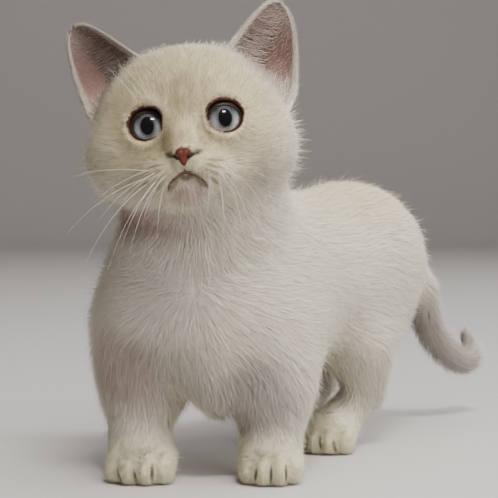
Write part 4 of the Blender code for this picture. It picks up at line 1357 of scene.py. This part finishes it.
STEEPEST = math.radians(70)
quad_local = to_head(quad_middles)
quad_face = near_head(quad_middles, 50) * ramp(-quad_local[:, 1], 4, 20)
cheeks = (quad_parts == 0) * ramp(np.abs(quad_local[:, 0]), 24, 34)
on_leg = (quad_parts > 1) & (quad_parts < 6)
on_crown = (quad_parts == 0) * ramp(quad_local[:, 2], 18, 28)
guard_density = 0.5 * ramp(quad_depth, 0.9, 1.8) * (1 - 0.97 * quad_face * (1 - cheeks))
guard_density *= (1 + 1.2 * cheeks) * (1 + 1.2 * on_leg + 1.5 * on_crown)
guard_density *= 1 + 2.0 * by_ear(quad_local)
guard_density[bare(quad_middles)] = 0
more, more_normals, more_quads, _ = scattered(skin_points, skin_normals, skin_quads, guard_density, RNG)
more_depth = coat_depth(more)
legs = on_leg[more_quads]
crown = (quad_parts[more_quads] == 0) * ramp(to_head(more)[:, 2], 18, 28)
on_torso = quad_parts[more_quads] == 1
ears_foot = by_ear(to_head(more)) * (quad_parts[more_quads] == 0)
usual = 0.6 + 0.7 * (cheeks[more_quads] + by_tail(more)) - 0.1 * crown + 0.8 * legs + 0.45 * on_torso
excess = RNG.exponential(usual * (1 - 0.2 * by_paw(more)) + 1.4 * ears_foot)
more_length = 1 + np.minimum(excess, 3.8 - 2.0 * crown * (1 - ears_foot)) / more_depth
more_lean = lean_of(more, more_depth) * RNG.uniform(1.1, 1.8, len(more)) * (1 + 0.8 * legs)
more_lean = np.minimum(more_lean, STEEPEST)
hairs = grown(more, more_normals, more_depth, more_length, more_lean, 0.2, 2.2, 0.1)
roots, root_normals = np.concatenate([roots, more]), np.concatenate([root_normals, more_normals])
root_parts = np.concatenate([root_parts, quad_parts[more_quads]])
bent = np.concatenate([bent, (more_depth > 2.4) & (RNG.random(len(more)) < 0.35)])
root, middle, tip = (np.concatenate(pair) for pair in zip((root, middle, tip), hairs))
width = np.concatenate([width, RNG.uniform(0.11, 0.18, len(more)) * (1 + 0.8 * by_paw(more))])
tone = np.concatenate([tone, RNG.uniform(0.6, 1.0, len(more))])
print("single hairs:", len(more))

tip_normals = unit(slope_of(body_distance, tip - root_normals * 0.5))

# %% Coat pieces
LARGEST = 190000


def coat_pieces(chosen, name, part, bends, finish, slot):
    """The chosen tufts as one or more pieces, none past the largest size."""
    picked = np.flatnonzero(chosen)
    if not len(picked):
        return
    shares = int(math.ceil(len(picked) * (10 if bends else 4) / LARGEST))
    for number in range(shares):
        own = picked[number::shares]
        far = part_side(part, roots[own])
        rounded = 0.14 + 0.4 * by_paw(root[own])
        normals = root_normals[own], tip_normals[own]
        spikes = spike_points(root[own], middle[own], tip[own], width[own], *normals, bends, rounded)
        label = f"{name}_{number + 1}" if shares > 1 else name
        tuft_piece(label, spikes, bends, part_map(part, far, roots[own]), tone[own], finish, slot)


PAW_TOP = 15.0
for number, part in enumerate(PARTS):
    low = (roots[:, 2] < PAW_TOP) & (part in LIMBS)
    for bends in (True, False):
        here = (root_parts == number) & (bent == bends)
        word = "long" if bends else "short"
        coat_pieces(here & ~low, f"coat_{part}_{word}", part, bends, COAT_FINISH, "coat")
        coat_pieces(here & low, f"coat_{part}_paw_{word}", part, bends, PAW_FINISH, "paw_coat")
print("coat pieces:", len(COAT_TOTAL), "triangles:", sum(COAT_TOTAL), "largest:", max(COAT_TOTAL))

# %% [markdown]
# ## Eyes
# A kitten's eye is almost a ball, with a clearer, rounder cornea in front. The iris is grey-blue, pale
# below and darkened above by a painted shadow of the upper lid, with fine spokes, and the pupil is an
# upright oval. The ball is a profile turned about the line of gaze. Its map is its front view, so the
# iris is painted from rings and angles.


# %% Eyeballs
def from_eye(side, across, upward, forward):
    """Points of an eye's own frame, in the body's frame; the right eye is the left one's mirror image."""
    x, y, z = eye_axes()
    local = EYE_AT + across[..., None] * x + upward[..., None] * y + forward[..., None] * z
    return from_head(local * (side, 1, 1))


CORNEA_RADIUS, CORNEA_AHEAD = 7.3, 1.95
EYE_MAP_WIDE = 20.0


def eye_profile(angle):
    """Radius from the eye's middle at an angle from the gaze: the ball, with the cornea's cap in front."""
    cap = np.sqrt(np.maximum(CORNEA_RADIUS**2 - (CORNEA_AHEAD * np.sin(angle)) ** 2, 0))
    cap += CORNEA_AHEAD * np.cos(angle)
    return -joined(-np.full_like(angle, EYE_RADIUS), -cap, 0.25)


def eyeball(side, name, pupil_shift):
    """A ball of 44 rings of 72 points about the gaze, with its front view in millimetres as a map."""
    rings, columns = 44, 72
    angle = math.pi * np.linspace(0, 1, rings + 2)[1:-1, None] ** 1.25
    around = np.linspace(0, 2 * math.pi, columns, endpoint=False)[None, :]
    radius = eye_profile(angle)
    flat, ahead = radius * np.sin(angle), radius * np.cos(angle) * np.ones_like(around)
    across, upward = flat * np.cos(around), flat * np.sin(around)
    grid = from_eye(side, across, upward, ahead)
    one = np.ones(1)
    front = from_eye(side, 0 * one, 0 * one, eye_profile(0 * one))[0]
    back = from_eye(side, 0 * one, 0 * one, -EYE_RADIUS * one)[0]
    points, faces = capped(grid, front, back)
    made = piece_of(name, points, faces, EYE_FINISH, "eye", [name])
    flat_map = np.stack([across * side, upward], -1)
    ends = np.zeros((2, 2))
    per_point = (np.concatenate([flat_map.reshape(-1, 2), ends]) - pupil_shift) / EYE_MAP_WIDE + 0.5
    corners = np.empty(len(made.data.loops), np.int32)
    made.data.loops.foreach_get("vertex_index", corners)
    add_map(made, "FrontView", per_point[corners])
    return made


# %% Iris and pupil
def eye_finish():
    """Iris, pupil and white of the eye, as rings about the map's middle, under a wet clear coat."""
    wet = {"Coat_Weight": 1.0, "Coat_Roughness": 0.02, "Coat_IOR": 1.42}
    made, tree, shader = new_material("kitten_eye", Roughness=0.25, Specular_IOR_Level=0.05, **wet)
    front = node(tree, "ShaderNodeUVMap", uv_map="FrontView").outputs[0]
    middle, wide = -EYE_MAP_WIDE / 2, EYE_MAP_WIDE
    in_mm = {"Vector": front, "Location": (middle, middle, 0), "Scale": (wide, wide, 0)}
    place = node(tree, "ShaderNodeMapping", in_mm)
    away = node(tree, "ShaderNodeVectorMath", {0: place.outputs[0]}, operation="LENGTH").outputs["Value"]
    oval = node(tree, "ShaderNodeMapping", {"Vector": place.outputs[0], "Scale": (1 / 2.45, 1 / 3.3, 1)})
    pupil = node(tree, "ShaderNodeVectorMath", {0: oval.outputs[0]}, operation="LENGTH").outputs["Value"]
    around = node(tree, "ShaderNodeVectorMath", {0: place.outputs[0]}, operation="NORMALIZE")
    rise = node(tree, "ShaderNodeCombineXYZ", {"Z": times(tree, away, 0.05)})
    ray = node(tree, "ShaderNodeVectorMath", {0: around.outputs[0], 1: rise.outputs[0]}, operation="ADD")
    fibres = {"Vector": ray.outputs[0], "Scale": 9.0, "Detail": 6.0, "Roughness": 0.7}
    spokes = smooth_mask(tree, node(tree, "ShaderNodeTexNoise", fibres).outputs["Fac"], 0.42, 0.62)
    upward = node(tree, "ShaderNodeSeparateXYZ", {"Vector": place.outputs[0]}).outputs["Y"]
    # Pale below, dark above: the dark top of the iris is a painted shadow of the upper lid.
    colour = mixed(tree, shade(164, 166, 165), shade(34, 36, 40), smooth_mask(tree, upward, -2.8, 3.6))
    colour = mixed(tree, colour, shade(84, 88, 92), times(tree, spokes, 0.45))
    colour = mixed(tree, shade(70, 74, 78), colour, smooth_mask(tree, pupil, 1.0, 1.6))
    colour = mixed(tree, colour, shade(34, 30, 28), smooth_mask(tree, away, 4.5, 5.9))
    painted(tree, shader, mixed(tree, (0.003, 0.003, 0.004, 1), colour, smooth_mask(tree, pupil, 0.92, 1.08)))
    return made


EYE_FINISH = eye_finish()
eyeball(1, "eye_left", (0.0, 0.0))
eyeball(-1, "eye_right", (0.5, 0.0))
print("eyes: 2, cornea radius", CORNEA_RADIUS, "mm")

# %% [markdown]
# ## Lids
# Each eye is framed by a bare dark rim, the lids' edges, thick above and thin below, which lies on
# the eyeball and meets in two corners. It is a tube carried round the opening: the opening is an
# ellipse drawn out at both corners, and the tube's radius changes with the angle round it.


# %% Rims of the lids
def lid_rim(side, name):
    """A closed tube along the opening, 96 places round the eye and 14 round the tube."""
    around = np.linspace(0, 2 * math.pi, 96, endpoint=False)
    thick = rim_width(around) / 2
    out = opening_radius(around) + thick
    angle = np.arcsin(np.clip(out / (EYE_RADIUS + 0.2), 0, 0.98))
    turn = np.linspace(0, 2 * math.pi, 14, endpoint=False)
    reach = EYE_RADIUS + 0.1 + (0.3 + 0.35 * thick[:, None]) * np.cos(turn)
    lean = angle[:, None] + (1.35 * thick[:, None] + 0.22) * np.sin(turn) / EYE_RADIUS
    flat, around = reach * np.sin(lean), around[:, None]
    grid = from_eye(side, flat * np.cos(around), flat * np.sin(around), reach * np.cos(lean))
    return piece_of(name, grid, [grid_faces(96, 14, along=True)], RIM_FINISH, "nose")


def rim_finish(name, first, second):
    """Bare dark-brown skin, slightly moist, flecked from the first shade to the second."""
    made, tree, shader = new_material(name, Roughness=0.5, Specular_IOR_Level=0.3)
    fleck = noise(tree, 900.0, Detail=2.0)
    painted(tree, shader, mixed(tree, first, second, fleck), fleck)
    return made


RIM_FINISH = rim_finish("kitten_lid_rim", shade(26, 17, 14), shade(54, 36, 28))
LIP_FINISH = rim_finish("kitten_lip", shade(64, 46, 38), shade(98, 74, 62))
lid_rim(1, "lid_left")
lid_rim(-1, "lid_right")
print("lids' rims: 2, wide above and below, mm:", RIM_ABOVE, RIM_BELOW)

# %% [markdown]
# ## Nose
# The bare nose is a small brick-pink pad, wide above and narrow below, with a comma-shaped nostril
# cut into each side, open towards the cheek. It is a net over the same forms as the solid nose, only
# finer.

# %% Nose leather
NOSTRIL_BEND = (3.6, -40.0, -11.3)
NOSTRIL = (((2.3, -41.2, -11.8), NOSTRIL_BEND, 0.75, 0.8), (NOSTRIL_BEND, (6.2, -37.6, -10.4), 0.8, 0.5))


def nostril_distance(points):
    """Both nostrils: two short rods that run outwards and back along the wing of the nose."""
    local = both_sides(to_muzzle(points))
    return joined(rod(local, *NOSTRIL[0]), rod(local, *NOSTRIL[1]), 0.5)


def leather_distance(points):
    """The nose with its nostrils and the shallow line down its middle carved out."""
    local = to_muzzle(points)
    groove = rod(local, (0, -41.9, -11.4), (0, -41.2, -15.2), 0.28, 0.28)
    return carved(carved(nose_distance(points), nostril_distance(points), 0.45), groove, 0.4)


nose_middle = from_muzzle(NOSE_AT)
nose_points, nose_quads = net_of(leather_distance, nose_middle - 8.0, nose_middle + 8.0, 0.32)
nose_points, _ = settled(leather_distance, nose_points, 0.2)


def nose_finish():
    """Brick-pink leather, with a painted shade in the nostrils, at its outer sides and along its upper edge,
    and a fine pebbled grain.
    """
    made, tree, shader = new_material("kitten_nose", Roughness=0.5, Specular_IOR_Level=0.3)
    grain = node(tree, "ShaderNodeTexVoronoi", {"Vector": object_coords(tree), "Scale": 2200.0})
    colour = mixed(tree, shade(98, 46, 35), shade(68, 31, 24), noise(tree, 500.0, Detail=2.0))
    # This darker number is a painted shade of the nostrils, the outer sides and the upper edge.
    colour = mixed(tree, colour, shade(44, 24, 20), number_of(tree, "dark"))
    painted(tree, shader, colour, grain.outputs["Distance"], 0.35, 0.0002)
    return made


nose = piece_of("nose_leather", nose_points, [nose_quads], nose_finish(), "nose", ["nose"])
nose_local = both_sides(to_muzzle(nose_points))
# Painted shade: in and by the nostrils, at the outer sides and along the upper edge.
nose_painted_shade = 1 - ramp(nostril_distance(nose_points), 0.02, 0.55)
nose_painted_shade = np.maximum(nose_painted_shade, 0.8 * ramp(nose_local[:, 0], 2.1, 3.0))
nose_painted_shade = np.maximum(nose_painted_shade, 0.6 * ramp(nose_local[:, 2], -10.0, -8.8))
add_numbers(nose, "dark", nose_painted_shade)
print("nose:", len(nose_quads), "quads")

# %% [markdown]
# ## Mouth
# The mouth is shut. What shows is the dark line between the lips, which drops from the nose and
# curves down to both corners. Tapered tubes lie in the grooves that the skin has for them: the lips'
# line, the line under the nose, and the slits that lead out of both nostrils, whose dark tubes are a
# painted shade of the slits.


# %% Tubes along paths
def tube(path, radius, sides=8):
    """A closed tube: circles of the given radii about a path, each square to it, and a point at each end."""
    ahead = unit(np.gradient(path, axis=0))
    side = unit(np.cross(ahead, (0.13, 0.21, 0.97)))
    up = np.cross(ahead, side)
    around = np.linspace(0, 2 * math.pi, sides, endpoint=False)
    ring = np.cos(around)[None, :, None] * side[:, None] + np.sin(around)[None, :, None] * up[:, None]
    grid = path[:, None] + ring * np.asarray(radius)[:, None, None]
    return capped(grid, path[0] - ahead[0] * radius[0], path[-1] + ahead[-1] * radius[-1])


lip_taper = 1 - np.linspace(-1, 1, len(MOUTH_PATH)) ** 2
piece_of("lip_line", *tube(LIP_PATH, 0.2 + 0.42 * lip_taper), LIP_FINISH, "nose")
# The nostrils' slits are dark tubes that stand for the shade in them.
for path, word in zip(SLIT_PATHS, ("left", "right")):
    slit_taper = 1.2 - 1.05 * np.linspace(0, 1, len(path)) ** 0.8
    piece_of(f"nostril_{word}", *tube(into_face(path, 0.6), slit_taper), RIM_FINISH, "nose")
philtrum_taper = np.linspace(0.22, 0.42, len(PHILTRUM_PATH))
piece_of("philtrum_line", *tube(into_face(PHILTRUM_PATH, 0.95), philtrum_taper), LIP_FINISH, "nose")
print("mouth and nostrils: 4 tubes")

# %% [markdown]
# ## Ears
# An ear is a thin bent sheet: a wide base, a round tip, and a deep cup between two edges. Its back is
# furred like the head. Inside it is pink, with long pale hairs that sweep from the inner edge over
# the opening. The sheet is a function of height and breadth, with a front, a back and a round edge.


# %% The ear's sheet
def ear_sheet(side, t, a, out=0.0):
    """A place on the ear, mirrored for the right one: t climbs from under the base to the tip, a crosses
    from the inner edge (-1) to the outer (1). Half the width falls with u = 1 - t as the power 0.43 of
    u * u + EAR_ROUND * u, the cup sinks as 1 - a * a, and out moves towards the open side."""
    tip, u = EAR_TIPS[side], 1 - t
    base, half = (EAR_INNER + EAR_OUTER[side]) / 2, (EAR_OUTER[side] - EAR_INNER) / 2
    narrowing = (np.maximum(u * u + EAR_ROUND * u, 0) / (1 + EAR_ROUND)) ** 0.43
    width = np.where(t < 0, 1 + 0.25 * t, narrowing)
    forward = unit(np.cross(half, tip - base))
    bow = unit(half) * (EAR_BOW * 4 * np.maximum(t, 0) * u)[..., None]
    cup = EAR_CUP * (1 - a * a) * np.minimum(width, 1) * (1 - 0.35 * t)
    place = base + (tip - base) * t[..., None] + bow + half * (a * width)[..., None]
    return from_head((place + forward * (out - cup)[..., None]) * (side, 1, 1))


def ear_shell(side, name):
    """The sheet as a closed shell: 54 rows of a ring that runs over the front and back along the back."""
    rows, half = 54, 34
    t = np.minimum(1 - (1 + EAR_SUNK) * np.linspace(1, 0.0, rows) ** 1.8, 0.9985)[:, None]
    around = np.linspace(0, 2 * math.pi, 2 * half, endpoint=False)[None, :]
    a = np.cos(around) * np.ones_like(t)
    thick = 0.45 + 0.45 * (1 - a * a) * (1 - 0.5 * np.maximum(t, 0))
    out = thick * np.sin(around)
    grid = ear_sheet(side, t * np.ones_like(a), a, out)
    points, faces = capped(grid, grid[0].mean(0), grid[-1].mean(0))
    made = piece_of(name, points, faces, EAR_FINISH, "ear", [name])
    inside = ramp(out, -0.05, 0.25) * (1 - ramp(np.abs(a), 0.80, 0.99))
    inside = np.concatenate([inside.ravel(), [0, 0]])
    low = (1 - ramp(t, 0.05, 0.5)) * ramp(a, -0.2, 0.5)
    add_numbers(made, "inside", inside)
    add_numbers(made, "low", np.concatenate([low.ravel(), [0, 0]]))
    normals = np.empty(len(points) * 3, np.float32)
    made.data.vertices.foreach_get("normal", normals)
    flat_t = np.concatenate([(t * np.ones_like(a)).ravel(), t[[0, -1], 0]])
    flat_a = np.concatenate([a.ravel(), [0.0, 0.0]])
    return points, normals.reshape(-1, 3).astype(float), faces[0], flat_t, flat_a, inside


# %% The ears' skin
def ear_finish():
    """Pink skin with fine veins inside, dusky over the cup partly as a painted shade and lighter low towards
    the outer edge, and the coat's colour outside and along the edge.
    """
    thin = {"Subsurface_Weight": 0.15, "Subsurface_Radius": (0.004, 0.0015, 0.001), "Subsurface_Scale": 1.0}
    made, tree, shader = new_material("kitten_ear", Roughness=0.6, Specular_IOR_Level=0.25, **thin)
    # The dusky pink over most of the cup is partly the ear's own colour and partly a painted shade of the cup.
    pink = mixed(tree, shade(112, 88, 84), shade(84, 64, 60), noise(tree, 120.0, Detail=4.0, Distortion=1.2))
    pink = mixed(tree, pink, shade(150, 118, 111), number_of(tree, "low"))
    colour = mixed(tree, markings_in(tree), pink, number_of(tree, "inside"))
    painted(tree, shader, colour, noise(tree, 1500.0, Detail=2.0))
    return made


EAR_FINISH = ear_finish()
# The ear hairs' roots are darkened as a painted shade deep in the hair.
EAR_HAIR = coat_finish("kitten_ear_hair", shade(116, 92, 86), 0.9)
print("ears' finishes:", EAR_FINISH.name, EAR_HAIR.name)


# %% Fur on the ears
def ear_ways(side, t, a):
    """On the ear's sheet: the way to its tip and the way to its outer edge, at length 1."""
    to_tip = ear_sheet(side, t + 0.01, a) - ear_sheet(side, t - 0.01, a)
    to_edge = ear_sheet(side, t, a + 0.01) - ear_sheet(side, t, a - 0.01)
    return unit(to_tip), unit(to_edge)


def ear_tufts(side, shell, name, density, along, across, height, reach, width, bends, spread=0.2):
    """Hairs of one kind on an ear, so many for each square millimetre: each tip lies reach times the way
    along and across the ear, and height off its face. Fringes lean out over both edges."""
    points, normals, quads, t, a, inside = shell
    middle_t, middle_a, middle_in = (value[quads].mean(1) for value in (t, a, inside))
    thick = density(middle_t, middle_a, middle_in)
    place, normal, chosen, share = scattered(points, normals, quads, thick, EAR_DRAW)
    t, a = ((value[quads[chosen]] * share[..., 0]).sum(1) for value in (t, a))
    to_tip, to_edge = ear_ways(side, np.clip(t, -0.3, 0.97), np.clip(a, -0.98, 0.98))
    count = len(place)
    turn = EAR_DRAW.normal(0, spread, (count, 1))
    sideways = np.sign(a)[:, None] * across if name.endswith("fringe") else across
    way = flattened(to_tip * (along + turn) + to_edge * (sideways - turn), normal)
    size = EAR_DRAW.uniform(0.7, 1.2, (count, 1))
    root, tip = place - normal * 0.15, place + way * size * reach + normal * size * height
    middle = (place + tip) / 2 + normal * size * height * 0.3
    if reach > 5:
        tip = tip + to_tip * size * reach * 0.16 + (locks_of(place, 2.4) - place) * 0.7
    normal = normal + (place - HEAD_AT) / 60
    width = EAR_DRAW.uniform(0.7, 1.3, count) * width
    spikes = spike_points(root, middle, tip, width, normal, normal, bends)
    behind = inside[quads[chosen, 0]] < 0.5
    uv = np.stack([0.25 + 0.2 * a + 0.5 * behind, 0.1 + 0.8 * np.clip(t, 0, 1)], 1)
    finish = COAT_FINISH if name.endswith("coat") else EAR_HAIR
    tuft_piece(name, spikes, bends, uv, EAR_DRAW.random(count), finish, "ear")


# %% How thick the ears' fur is
def coat_density(t, a, inside):
    """Hairs to the square millimetre over the ear's back."""
    return 9.0 * (inside < 0.6) * (t > -0.1)


def fringe_density(t, a, inside):
    """Hairs to the square millimetre along both edges."""
    return 10.0 * (np.abs(a) > 0.84) * (t > 0.0)


def down_density(t, a, inside):
    """Hairs to the square millimetre in the cup: most by the inner edge and the tip."""
    most = np.maximum(ramp(-a, 0, 0.9), ramp(t, 0.55, 0.95))
    return 7.0 * (inside > 0.3) * (t > -0.1) * (0.16 + 0.84 * most)


def long_density(t, a, inside):
    """Hairs to the square millimetre along the inner edge, from which long ones cross the cup."""
    return 2.6 * (inside > 0.2) * (t > 0.0) * (t < 0.7) * ramp(-a, 0.35, 0.75)


def foot_density(t, a, inside):
    """Hairs to the square millimetre at the foot of the cup."""
    return 1.4 * (inside > 0.2) * (t > -0.2) * (t < 0.06)


# %% The ears and their fur
EAR_DRAW = np.random.default_rng(21)
EAR_HAIR_KINDS = {
    "coat": (coat_density, 1.0, 0.0, 0.9, 2.6, 0.24, False),
    "fringe": (fringe_density, 0.8, 0.9, 0.6, 1.5, 0.18, False),
    "down": (down_density, 0.9, 0.6, 0.5, 1.9, 0.15, False, 0.18),
    "long_hair": (long_density, 0.25, 1.0, 2.6, 13.0, 0.2, True, 0.12),
    "foot_hair": (foot_density, 1.0, 0.15, 2.0, 5.6, 0.16, True, 0.25),
}
for side, word in ((1, "left"), (-1, "right")):
    shell = ear_shell(side, f"ear_{word}")
    for kind, settings in EAR_HAIR_KINDS.items():
        ear_tufts(side, shell, f"ear_{word}_{kind}", *settings)
print("coat pieces with the ears:", len(COAT_TOTAL), "triangles:", sum(COAT_TOTAL))

# %% [markdown]
# ## Whiskers
# Whiskers are single stiff hairs, far thicker than the coat, in rows on the whisker pads, with a few
# above each eye. Each is a tapered tube along a curve that leaves the pad square to it and droops.


# %% Whiskers' curves, tubes and finish
def whisker_curves(roots, first, drop, length, points=12):
    """Curves from roots: root + length * (first * s + drop * s * s), for s from 0 to 1."""
    s, length = np.linspace(0, 1, points)[None, :, None], length[:, None, None]
    return roots[:, None] + first[:, None] * length * s + drop[:, None] * length * s * s


def whisker_piece(name, curves, thick):
    """Many tapered tubes of six sides in one mesh."""
    points, quads, ends, offset = [], [], [], 0
    taper = (1 - np.linspace(0, 1, curves.shape[1]) * 0.9) * thick
    for path in curves:
        own, (own_quads, own_ends) = tube(path, taper, 6)
        points.append(own)
        quads.append(own_quads + offset)
        ends.append(own_ends + offset)
        offset += len(own)
    faces = [np.concatenate(quads), np.concatenate(ends)]
    piece_of(name, np.concatenate(points), faces, WHISKER_FINISH, "coat")


def whisker_finish():
    """White horn, glossy, a little uneven in colour."""
    made, tree, shader = new_material("kitten_whisker", Roughness=0.3, Specular_IOR_Level=0.6)
    painted(tree, shader, mixed(tree, shade(236, 230, 220), shade(214, 204, 190), noise(tree, 60.0)))
    return made


WHISKER_FINISH = whisker_finish()
# %% Whiskers and brow hairs
WHISKER_X = ((0, 8.0), (1, 11.5), (2, 15.0))
WHISKER_ROWS = [(x, -13.8 - 2.5 * row - 0.3 * column) for row in range(4) for column, x in WHISKER_X]
whisker_draw = np.random.default_rng(5)
for side, word in ((-1, "right"), (1, "left")):
    count = len(WHISKER_ROWS)
    xz = np.array(WHISKER_ROWS) * (side, 1) + whisker_draw.normal(0, 0.35, (count, 2))
    feet = on_face(xz)
    out = unit(slope_of(head_distance, feet))
    row, column = np.repeat(np.arange(4), 3), np.tile(np.arange(3), 4)
    below = (2 if side < 0 else 30) + 13 * row + 14 * (2 - column) + whisker_draw.normal(0, 6, count)
    below = np.radians(below)[:, None]
    sideways = HEAD_TURN @ np.array([side, 0.22, 0.0])
    first = unit(out * 0.3 + sideways * np.cos(below) - np.array([0, 0, 1.0]) * np.sin(below))
    drop = np.outer(0.22 + 0.08 * row, (0, 0, -1.0)) - sideways * 0.12
    size = whisker_draw.uniform(0.85, 1.1, count) * (17 + 6.5 * column - 1.5 * row)
    size *= 1.15 if side < 0 else 0.6
    whisker_piece(f"whiskers_{word}", whisker_curves(feet - out * 0.8, first, drop, size), 0.075)
    brow = np.array([(11.0, 11.5), (13.4, 12.2), (16.0, 12.0)]) * (side, 1)
    feet = on_face(brow)
    out = slope_of(head_distance, feet)
    first = out * 0.6 + HEAD_TURN @ (side * 0.35, 0.1, 0.7) + whisker_draw.normal(0, 0.05, (3, 3))
    drop = np.outer([0.25, 0.3, 0.3], HEAD_TURN @ (side * 0.5, 0.5, 0.0))
    brow_curves = whisker_curves(feet - out * 0.8, first, drop, whisker_draw.uniform(10, 15, 3))
    whisker_piece(f"brow_hairs_{word}", brow_curves, 0.055)
print("whiskers:", 2 * len(WHISKER_ROWS), "brow hairs:", 2 * len(brow))
